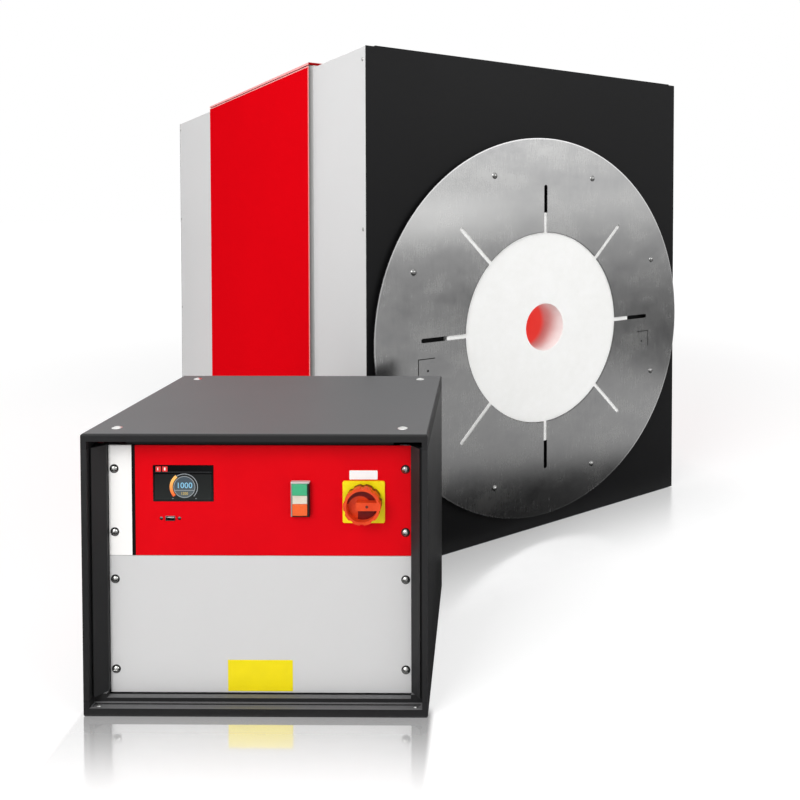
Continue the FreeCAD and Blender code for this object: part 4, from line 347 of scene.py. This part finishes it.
def rotary_handle():
    """Orange-red handle: painted shade in the deep parts of the dish, and a small screw in the grip."""
    f = moulded("handle_orange_red", rgb(226, 74, 26), 0.36, Specular_IOR_Level=0.3)
    u, w, z = f.axes(unit=True)
    flow = f.noise(45, 3, 0.6, unit=True)
    face = f.blend(f.span(flow, 0.3, 0.7), rgb(216, 60, 20), rgb(232, 76, 28))
    across = f.math("SUBTRACT", u, KNOB_U)
    high = f.math("SUBTRACT", z, KNOB_Z)

    def off(x, y):
        return f.length(f.math("SUBTRACT", across, x), f.math("SUBTRACT", high, y))

    # Painted shade: dark in an arc at the top of the dish and in its lower right part.
    shaded_outer_arc = f.span(off(-0.005, -0.006), 0.0180, 0.0195)
    upper = f.math("MULTIPLY", shaded_outer_arc, f.math("GREATER_THAN", high, 0.0))
    lower = f.math("MULTIPLY", f.math("GREATER_THAN", across, -0.008), f.math("LESS_THAN", high, 0.0))
    dished = f.span(w, KNOB_FACE + 0.0100, KNOB_FACE + 0.0117, smooth=True)
    painted_recess_shade = f.math("MULTIPLY", f.math("MAXIMUM", upper, lower), dished)
    base = f.blend(painted_recess_shade, face, rgb(112, 16, 13))
    grip = f.math("LESS_THAN", w, KNOB_FACE + 0.004)
    screw = f.math("MULTIPLY", f.span(off(0.008, 0.0), 0.0026, 0.0020), grip)
    f.set("Base Color", f.blend(screw, base, rgb(96, 44, 36)))
    return f


def key_housing():
    """Black push-button housing with a painted highlight on its upper bevel and a fainter one on its left
    edge.
    """
    f = moulded("key_housing", rgb(24, 24, 24), 0.38)
    u, _, z = f.axes(unit=True)
    top = KEY_Z + KEY_HEIGHT / 2
    left = KEY_U - KEY_WIDTH / 2
    # Painted highlights: pale on the upper bevel, grey on the left edge.
    side = f.span(u, left + 0.0028, left + 0.0018, 0.0, 0.8)
    bevel = f.span(z, top - 0.0026, top - 0.0016, 0.0, 0.9)
    base = f.blend(side, f.colour(), rgb(168, 168, 164))
    f.set("Base Color", f.blend(bevel, base, rgb(214, 212, 210)))
    return f


def washer_screws():
    """Slotted panel screws in black cup washers: bright in front, black at the panel."""
    f = bright_metal("panel_screw_steel", rgb(190, 190, 188), 0.24, (1, 1, 1), 900, unit=True)
    w = f.axes(unit=True)[1]
    cup = f.math("GREATER_THAN", w, PANEL_FACE - 0.00155)
    f.set("Metallic", f.math("SUBTRACT", 1.0, cup))
    f.set("Base Color", f.blend(cup, f.colour(), rgb(26, 26, 26)))
    return f


def port_shell():
    """Data socket: plated shell with a bright tongue inside it, and painted shade for the gap below the
    tongue.
    """
    f = bright_metal("socket_shell", rgb(150, 150, 148), 0.3, (1, 1, 1), 700, unit=True)
    _, w, z = f.axes(unit=True)
    inside = f.math("GREATER_THAN", w, PANEL_FACE - 0.0006)
    # Painted shade: inside the shell, everything below the tongue is near black, for the shaded gap there.
    tongue = f.blend(f.span(z, SOCKET_Z, SOCKET_Z + 0.0006), rgb(12, 12, 12), rgb(225, 225, 222))
    f.set("Base Color", f.blend(inside, f.colour(), tongue))
    f.set("Metallic", f.math("SUBTRACT", 1.0, inside))
    return f


def two_tone(name, lower, upper, height, gloss):
    """Plastic or enamel with a second colour above a height."""
    f = moulded(name, lower, gloss, unit=False)
    z = f.axes()[2]
    f.set("Base Color", f.blend(f.math("GREATER_THAN", z, height), f.colour(), upper))
    return f


def hot_element():
    """Heating element: dark glassy skin, pale and dull at the cold ends, faintly glowing in the hot zone."""
    f = Finish("element_ceramic")
    z = f.axes()[2]
    skin = f.noise(240, 4, 0.6)
    dark = f.blend(skin, rgb(70, 56, 50), rgb(110, 84, 70))
    pale = f.blend(skin, rgb(120, 118, 116), rgb(168, 166, 163))
    f.set("Base Color", f.blend(f.span(z, 0.640, 0.655), dark, pale))
    f.set("Roughness", f.span(skin, 0.3, 0.7, 0.25, 0.5))
    f.set("Emission Color", rgb(255, 96, 40))
    f.set("Emission Strength", f.span(z, 0.640, 0.560, 0.0, 0.5))
    f.relief((skin, 0.0001))
    return f


def braid():
    """Braided aluminium strap."""
    f = Finish("strap_braid", Metallic=1.0)
    weave = {"Vector": f.place(), "Scale": 160, "Distortion": 2.5, "Detail": 2.0}
    wave = f.node("TexWave", weave, wave_type="BANDS", bands_direction="DIAGONAL").outputs["Fac"]
    f.set("Base Color", f.blend(wave, rgb(168, 168, 170), rgb(222, 222, 224)))
    f.set("Roughness", f.span(wave, 0, 1, 0.5, 0.3))
    f.relief((wave, 0.0003))
    return f


def lamp_cover():
    """Milky lens of the lamp between the buttons, with faint ribs."""
    f = Finish("lamp_milky", Roughness=0.3, Subsurface_Weight=0.15, Subsurface_Scale=0.004)
    u = f.axes(unit=True)[0]
    rib = f.math("SINE", f.math("MULTIPLY", u, 4200))
    cloud = f.noise(60, 3, 0.5, unit=True)
    f.set("Base Color", f.blend(f.span(cloud, 0.3, 0.7), rgb(214, 202, 184), rgb(232, 224, 210)))
    f.relief((f.span(rib, -1, 1), 0.00008))
    return f


FINISHES = {
    "red_cover": red_coat(),
    "grey_panel": coated("grey_powder_coat", rgb(218, 218, 218), 0.45, drift=0.015, level=0.15),
    "black_panel": coated("black_powder_coat", rgb(20, 20, 21), 0.5, (520, 0.00005), (1500, 0.00002),
                          0.14, 0.12),
    "frame": coated("frame_paint", rgb(118, 122, 126), 0.5, (300, 0.00006)),
    "disc": brushed_disc(),
    "bolt": bright_metal("bolt_steel", rgb(140, 140, 139), 0.2, (1, 1, 1), 700),
    "casing_screw": bright_metal("screw_zinc", rgb(168, 168, 166), 0.32, (1, 1, 1), 700),
    "case_screw": bright_metal("screw_bright", rgb(236, 236, 234), 0.34, (1, 1, 1), 700),
    "hot_case": bright_metal("hot_case_steel", rgb(150, 148, 146), 0.42, (1, 0.02, 1), 700, 0.12),
    "board": insulation("fibre_board_bore", True),
    "chamber": insulation("fibre_board", False),
    "element": hot_element(),
    "ceramic": moulded("fired_ceramic", rgb(224, 216, 200), 0.7, (600, 0.00008), unit=False),
    "strap": braid(),
    "sensor": two_tone("sensor_head", rgb(212, 206, 194), rgb(132, 134, 138), 0.801, 0.5),
    "gland": moulded("gland_nylon", rgb(44, 44, 45), 0.5, unit=False),
    "charcoal": charcoal_coat(),
    "profile": coated("profile_black", rgb(34, 34, 35), 0.46, (700, 0.00004), (2400, 0.00002),
                      0.08, 0.4),
    "zinc": bright_metal("zinc_sheet", rgb(158, 160, 163), 0.4, (1, 1, 1), 260, 0.14),
    "red_front": red_front(),
    "grey_front": coated("grey_front_coat", rgb(208, 208, 208), 0.42, (700, 0.00002),
                         drift=0.015, level=0.15),
    "panel_screw": washer_screws(),
    "module": moulded("module_black", rgb(36, 37, 38), 0.5),
    "screen": screen_glass(),
    "port": port_shell(),
    "port_screw": bright_metal("socket_screw", rgb(96, 94, 92), 0.3, (1, 1, 1), 700, unit=True),
    "key_black": key_housing(),
    "key_green": moulded("key_green", rgb(62, 174, 124), 0.3, Coat_Weight=0.2),
    "key_orange": moulded("key_orange", rgb(238, 98, 34), 0.3, Coat_Weight=0.2),
    "lamp": lamp_cover(),
    "plate_yellow": moulded("plate_yellow", rgb(242, 224, 16), 0.34, Specular_IOR_Level=0.2),
    "handle": rotary_handle(),
    "switch": moulded("switch_grey", rgb(70, 72, 74), 0.5),
    "sink": bright_metal("heat_sink_aluminium", rgb(196, 197, 200), 0.38, (1, 1, 0.02), 900),
    "core": bright_metal("transformer_core", rgb(92, 90, 88), 0.5, (1, 0.05, 1), 600),
    "fan": moulded("fan_black", rgb(30, 30, 31), 0.45),
}

NODE_FINISH = {
    "red_cover": "left_cover right_cover top_cover",
    "grey_panel": "left_front_panel left_rear_panel right_front_panel right_rear_panel "
                  "top_front_panel top_rear_panel",
    "black_panel": "front_end_panel rear_end_panel",
    "frame": "base_frame upright_frame",
    "disc": "front_disc rear_disc",
    "bolt": "disc_bolts disc_spacers",
    "casing_screw": "casing_screws",
    "case_screw": "case_screws",
    "hot_case": "hot_box_case",
    "board": "front_end_board rear_end_board front_vestibule_block rear_vestibule_block",
    "chamber": "floor_insulation roof_insulation left_wall_insulation right_wall_insulation",
    "element": "left_heating_elements right_heating_elements",
    "ceramic": "element_holders terminal_block",
    "strap": "element_straps",
    "sensor": "thermocouples",
    "gland": "cable_glands",
    "charcoal": "case_base case_top rear_panel",
    "profile": "left_side_profile right_side_profile",
    "zinc": "rack_angles",
    "red_front": "red_panel",
    "grey_front": "grey_panel",
    "panel_screw": "panel_screws",
    "module": "display_module contactor",
    "screen": "display_glass",
    "port": "usb_socket",
    "port_screw": "usb_screws",
    "key_black": "button_housing",
    "key_green": "start_button",
    "key_orange": "stop_button",
    "lamp": "lamp_lens",
    "plate_yellow": "isolator_plate",
    "handle": "isolator_knob",
    "switch": "isolator_switch",
    "sink": "thyristor_unit",
    "core": "transformer",
    "fan": "fan_frame fan_rotor",
}


def dress_frame():
    """Give every carried-over node its finish."""
    for finish, names in NODE_FINISH.items():
        for name in names.split():
            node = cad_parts[name]
            node.data.materials.clear()
            node.data.materials.append(FINISHES[finish].material)
    left = set(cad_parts) - {name for names in NODE_FINISH.values() for name in names.split()}
    if left:
        raise RuntimeError("no finish for " + ", ".join(sorted(left)))


# Flat pieces on the control unit's front

def lit(name, colour, strength, upper=None, low=0.0, high=0.0):
    """A picture element behind the display's glass: it shines, with faint cell rows.

    With an upper colour, it changes to that one between a low and a high height."""
    f = Finish(name, Roughness=0.3, Base_Color=tone(colour, 0.4))
    z = f.axes(unit=True)[2]
    rows = f.span(f.math("SINE", f.math("MULTIPLY", z, 9000)), -1, 1, 0.92, 1.0)
    f.set("Emission Color", f.blend(f.span(z, low, high), colour, upper) if upper else colour)
    f.set("Emission Strength", f.math("MULTIPLY", rows, strength))
    return f.material


def prism(name, points, face, thickness, material, edge=0.0):
    """A flat piece on the control unit's front: an outline in (u, z), with its back at w = face."""
    shape = bmesh.new()
    shape.faces.new([shape.verts.new((u, face, z)) for u, z in points])
    moved = bmesh.ops.extrude_face_region(shape, geom=shape.faces[:])
    fronts = [item for item in moved["geom"] if isinstance(item, bmesh.types.BMVert)]
    bmesh.ops.translate(shape, verts=fronts, vec=(0, -thickness, 0))
    if edge:
        rims = [e for e in shape.edges if all(v in fronts for v in e.verts)]
        bmesh.ops.bevel(shape, geom=rims, offset=edge, segments=2, affect="EDGES")
    bmesh.ops.recalc_face_normals(shape, faces=shape.faces[:])
    mesh = bpy.data.meshes.new(name)
    shape.to_mesh(mesh)
    shape.free()
    mounted(name, mesh, material)


def mounted(name, mesh, material):
    """A mesh in the control unit's frame made into a piece."""
    mesh.transform(UNIT)
    piece = bpy.data.objects.new(name, mesh)
    mesh.materials.append(material)
    bpy.context.scene.collection.objects.link(piece)
    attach(piece, "root")


def rectangle(u, z, width, height, corner=0.0, steps=5):
    """Corner points of a rectangle from its lower left corner, its corners rounded."""
    if not corner:
        return [(u, z), (u + width, z), (u + width, z + height), (u, z + height)]
    points = []
    centres = ((u + width - corner, z + corner, -90), (u + width - corner, z + height - corner, 0),
               (u + corner, z + height - corner, 90), (u + corner, z + corner, 180))
    for cu, cz, start in centres:
        for i in range(steps + 1):
            angle = math.radians(start + 90 * i / steps)
            points.append((cu + corner * math.cos(angle), cz + corner * math.sin(angle)))
    return points


def arc(u, z, inner, outer, start, end, steps=40):
    """Points of a ring or part of one, from a start to an end angle, anticlockwise from the right."""
    angles = [math.radians(start + (end - start) * i / steps) for i in range(steps + 1)]
    rim = [(u + outer * math.cos(a), z + outer * math.sin(a)) for a in angles]
    if not inner:
        return rim if abs(end - start) < 360 else rim[:-1]
    return rim + [(u + inner * math.cos(a), z + inner * math.sin(a)) for a in reversed(angles)]


def figures(name, text, u, z, size, face, material):
    """Plain figures centred on a point of the control unit's front."""
    half = 0.00004
    curve = bpy.data.curves.new(name + "_curve", "FONT")
    curve.body = text
    curve.size = size
    curve.align_x = "CENTER"
    curve.align_y = "CENTER"
    curve.extrude = half
    curve.resolution_u = 4
    holder = bpy.data.objects.new(name + "_holder", curve)
    bpy.context.scene.collection.objects.link(holder)
    bpy.context.view_layer.update()
    mesh = bpy.data.meshes.new_from_object(holder.evaluated_get(bpy.context.evaluated_depsgraph_get()))
    bpy.data.objects.remove(holder)
    mesh.name = name
    mesh.materials.clear()
    mesh.transform(Matrix.Translation((u, face - half, z)) @ Matrix.Rotation(math.radians(90), 4, "X"))
    mounted(name, mesh, material)


def make_display():
    """What the display shows: a status band with two marks, and a round gauge with plain figures."""
    left, top = PANEL_LEFT + 0.071, PANEL_TOP - 0.032
    width, height = 0.0965, 0.058
    margin = 0.003
    layer = 0.00006
    ground = (rgb(34, 37, 36), 0.8, rgb(9, 10, 11), top - 0.055, top - 0.016)
    dial = (rgb(84, 92, 94), 0.9, rgb(52, 66, 78), top - 0.047, top - 0.030)
    heat = (rgb(226, 84, 36), 0.95, rgb(248, 206, 110), top - 0.050, top - 0.024)
    pale = lit("screen_pale", rgb(150, 156, 160), 0.9)
    red = lit("screen_red", rgb(206, 44, 44), 0.9)
    white = lit("screen_sign_white", rgb(235, 225, 220), 0.9)

    def piece(name, points, material, level=0):
        prism(name, points, SCREEN_FACE - level * layer, layer, material)

    line = rectangle(left + margin, top - 0.19 * height, width - 2 * margin, 0.0005)
    piece("screen_line", line, lit("screen_faint", rgb(66, 68, 70), 1.0))
    for i in range(2):
        at = left + 0.0045 + i * 0.0105
        piece("screen_mark_%d" % i, rectangle(at, top - 0.0102, 0.0085, 0.0085, 0.0008), red)
        sign = rectangle(at + 0.0028, top - 0.0082, 0.0012 + 0.0012 * i, 0.0046, 0.0004)
        piece("screen_sign_%d" % i, sign, white, 1)
    lower = rectangle(left + margin, top - height + margin, width - 2 * margin, 0.7 * height, 0.001)
    piece("screen_lower", lower, lit("screen_dark", *ground))

    u, z = left + 0.52 * width, top - 0.60 * height
    piece("screen_dial", arc(u, z, 0, 0.0172, 0, 360, 64), lit("screen_blue", *dial), 1)
    piece("screen_dial_rim", arc(u, z, 0.0165, 0.0174, 0, 359.99, 64), pale, 2)
    piece("screen_dial_line", rectangle(u - 0.0162, z - 0.0058, 0.0324, 0.0008), pale, 2)
    piece("screen_scale", arc(u, z, 0.0205, 0.0215, -45, 130), pale, 1)
    piece("screen_heat", arc(u, z, 0.0188, 0.0236, 126, 222), lit("screen_heat_scale", *heat), 1)
    reach = 0.0262
    for i, angle in enumerate((math.radians(225), math.radians(-45))):
        end_u, end_z = u + reach * math.cos(angle), z + reach * math.sin(angle)
        piece("screen_end_%d" % i, rectangle(end_u - 0.0012, end_z - 0.0003, 0.0024, 0.0006), pale, 1)
    value = lit("screen_figure", rgb(130, 188, 216), 1.0)
    target = lit("screen_yellow", rgb(214, 186, 104), 0.8)
    figures("screen_value", "1000", u, z + 0.0022, 0.0130, SCREEN_FACE - 2 * layer, value)
    figures("screen_target", "1200", u, z - 0.0105, 0.0058, SCREEN_FACE - 2 * layer, target)


def film(name, colour):
    """Smooth label film with slight waviness."""
    return moulded(name, colour, 0.4, (900, 0.000006), 0.02, Specular_IOR_Level=0.2).material


def make_plates():
    """Bare plates: a white one over the isolator and a yellow one on the grey panel."""
    tag = rectangle(PANEL_LEFT + 0.3846, PANEL_TOP - 0.0541, 0.0449, 0.0144, 0.0012)
    white = film("tag_white", rgb(246, 246, 246))
    prism("isolator_tag", tag, PANEL_FACE, 0.0008, white, 0.0002)
    plate = rectangle(PANEL_LEFT + 0.1884, GREY_PANEL_TOP - 0.2192, 0.1041, 0.0506, 0.001)
    yellow = film("film_yellow", rgb(240, 220, 14))
    prism("panel_plate", plate, PANEL_FACE, 0.0004, yellow, 0.0001)


# Stage: floor, light and camera

def flat(name, west, south, east, north, height, material):
    """A level rectangle of the stage."""
    mesh = bpy.data.meshes.new(name)
    corners = [(west, south, height), (east, south, height), (east, north, height), (west, north, height)]
    mesh.from_pydata(corners, [], [(0, 1, 2, 3)])
    mesh.materials.append(material)
    piece = bpy.data.objects.new(name, mesh)
    bpy.context.scene.collection.objects.link(piece)
    return piece


def beside(f, across, along, half_across, half_along, reach):
    """1 at the edge of a footprint, falling to 0 at a reach from it."""
    past_side = f.math("MAXIMUM", f.math("SUBTRACT", f.math("ABSOLUTE", across), half_across), 0.0)
    past_end = f.math("MAXIMUM", f.math("SUBTRACT", f.math("ABSOLUTE", along), half_along), 0.0)
    return f.span(f.length(past_side, past_end), 0.0, reach, 1.0, 0.0, smooth=True)


def make_floor():
    """White floor that keeps the shadows, with a mirror image that fades away from both footprints."""
    half = 40.0
    narrowing = 16.0
    f = Finish("floor_white", empty=True)
    x, y = f.axes()[:2]
    u, w = f.axes(unit=True)[:2]
    furnace = beside(f, x, y, FURNACE_WIDTH / 2, FURNACE_LENGTH / 2, 0.28)
    furnace = f.math("MULTIPLY", furnace, 0.40)
    # The unit's mirror image reaches less far at its sides than in front, and not behind its front
    across = f.math("MULTIPLY", f.math("SUBTRACT", u, UNIT_WIDTH / 2), narrowing)
    along = f.math("SUBTRACT", w, UNIT_DEPTH / 2)
    unit = beside(f, across, along, narrowing * UNIT_WIDTH / 2, UNIT_DEPTH / 2, 0.19)
    unit = f.math("MULTIPLY", unit, f.span(w, 0.03, 0.0, 0.0, 0.70, smooth=True))
    seen = f.node("LightPath").outputs["Is Camera Ray"]
    matt = f.node("BsdfDiffuse", {"Color": f.blend(seen, (0.82, 0.82, 0.82, 1), (0.45, 0.45, 0.45, 1))})
    away = f.span(f.length(x, y), 1.0, 5.0, 0.62, 0.88, smooth=True)
    lift = f.node("Emission", {"Strength": f.math("MULTIPLY", seen, away)})
    both = f.node("AddShader", {0: matt.outputs[0], 1: lift.outputs[0]})
    gloss = f.node("BsdfGlossy", {"Roughness": f.span(unit, 0.0, 0.3, 0.22, 0.07)})
    share = f.math("MAXIMUM", furnace, unit)
    mixed = f.node("MixShader", {0: share, 1: both.outputs[0], 2: gloss.outputs[0]})
    f.node("OutputMaterial", {"Surface": mixed.outputs[0]})
    flat("floor", -half, -half, half, half, 0.0, f.material)


def make_reflections():
    """A card on the floor that only reflections see, painting a reflection into the front disc: dark near
    the disc, grey further out.
    """
    near_edge = -0.93
    f = Finish("reflection_card", empty=True)
    x, y = f.axes()[:2]
    ahead = f.math("SUBTRACT", near_edge, y)
    reach = f.math("ADD", 0.34, f.math("MULTIPLY", x, -0.22))
    near = f.span(f.math("DIVIDE", ahead, reach), 0.7, 1.7, 0.01, 0.46, smooth=True)
    aside = f.math("SUBTRACT", x, f.math("MULTIPLY", ahead, 0.55))
    right = f.span(aside, -0.2, 1.0, 0.0, 0.12, smooth=True)
    far = f.span(ahead, 3.0, 7.0, 0.0, 0.45, smooth=True)
    # Painted reflection: the card's light is what the front disc mirrors, dark near it so the disc's lower
    # part looks dark.
    glow = f.node("Emission", {"Strength": f.math("ADD", near, f.math("ADD", right, far))})
    clear = f.node("BsdfTransparent")
    back = f.node("NewGeometry").outputs["Backfacing"]
    mixed = f.node("MixShader", {0: back, 1: glow.outputs[0], 2: clear.outputs[0]})
    f.node("OutputMaterial", {"Surface": mixed.outputs[0]})
    card = flat("reflection_card", -3, -9, 6, near_edge, 0.003, f.material)
    for ray in ("camera", "diffuse", "transmission", "volume_scatter", "shadow"):
        setattr(card, "visible_" + ray, False)


def make_world():
    """White to the camera, to gloss and through glass; a plain soft light on everything else."""
    ambient = 0.50
    world = bpy.data.worlds.new("studio")
    bpy.context.scene.world = world
    world.use_nodes = True
    tree = world.node_tree
    sky = tree.nodes["Background"]
    sky.inputs["Color"].default_value = (1, 1, 1, 1)
    path = tree.nodes.new("ShaderNodeLightPath")
    seen = path.outputs["Is Camera Ray"]
    for name in ("Is Glossy Ray", "Is Transmission Ray"):
        either = tree.nodes.new("ShaderNodeMath")
        either.operation = "MAXIMUM"
        tree.links.new(seen, either.inputs[0])
        tree.links.new(path.outputs[name], either.inputs[1])
        seen = either.outputs[0]
    level = tree.nodes.new("ShaderNodeMapRange")
    level.inputs["To Min"].default_value = ambient
    tree.links.new(seen, level.inputs["Value"])
    tree.links.new(level.outputs[0], sky.inputs["Strength"])


def lamp(name, at, toward, width, height, share):
    """A soft box. Its share is the brightness that it alone gives a white surface facing it at its aim."""
    data = bpy.data.lights.new(name, "AREA")
    data.shape = "RECTANGLE"
    data.size = width
    data.size_y = height
    gap = Vector(toward) - Vector(at)
    data.energy = share * math.pi ** 2 * gap.length_squared
    light = bpy.data.objects.new(name, data)
    light.location = at
    light.rotation_mode = "QUATERNION"
    light.rotation_quaternion = gap.to_track_quat("-Z", "Y")
    bpy.context.scene.collection.objects.link(light)


def make_lights():
    lamp("key", (-4.2, -2.5, 3.2), (-0.4, -0.5, 0.6), 2.6, 2.6, 0.56)
    lamp("front", (1.4, -4.7, 2.4), (0.0, -0.9, 0.5), 3.0, 1.2, 0.26)
    lamp("top", (0.0, -0.7, 4.4), (-0.2, -0.6, 0.9), 3.2, 3.2, 0.20)


def make_camera():
    """The photograph's view of the furnace."""
    data = bpy.data.cameras.new("camera")
    data.sensor_width = 36
    data.lens = 33.343
    data.shift_x = -0.0967
    data.shift_y = -0.2183
    camera = bpy.data.objects.new("camera", data)
    camera.location = (-1.1499, -2.3331, 0.7972)
    turn, dip = math.radians(33.63), math.radians(1.38)
    forward = Vector((math.sin(turn) * math.cos(dip), math.cos(turn) * math.cos(dip), -math.sin(dip)))
    camera.rotation_mode = "QUATERNION"
    camera.rotation_quaternion = forward.to_track_quat("-Z", "Y")
    bpy.context.scene.collection.objects.link(camera)
    bpy.context.scene.camera = camera


make_camera()
dress_frame()
make_display()
make_plates()
make_floor()
make_reflections()
make_world()
make_lights()
bpy.context.scene.view_settings.view_transform = "Standard"
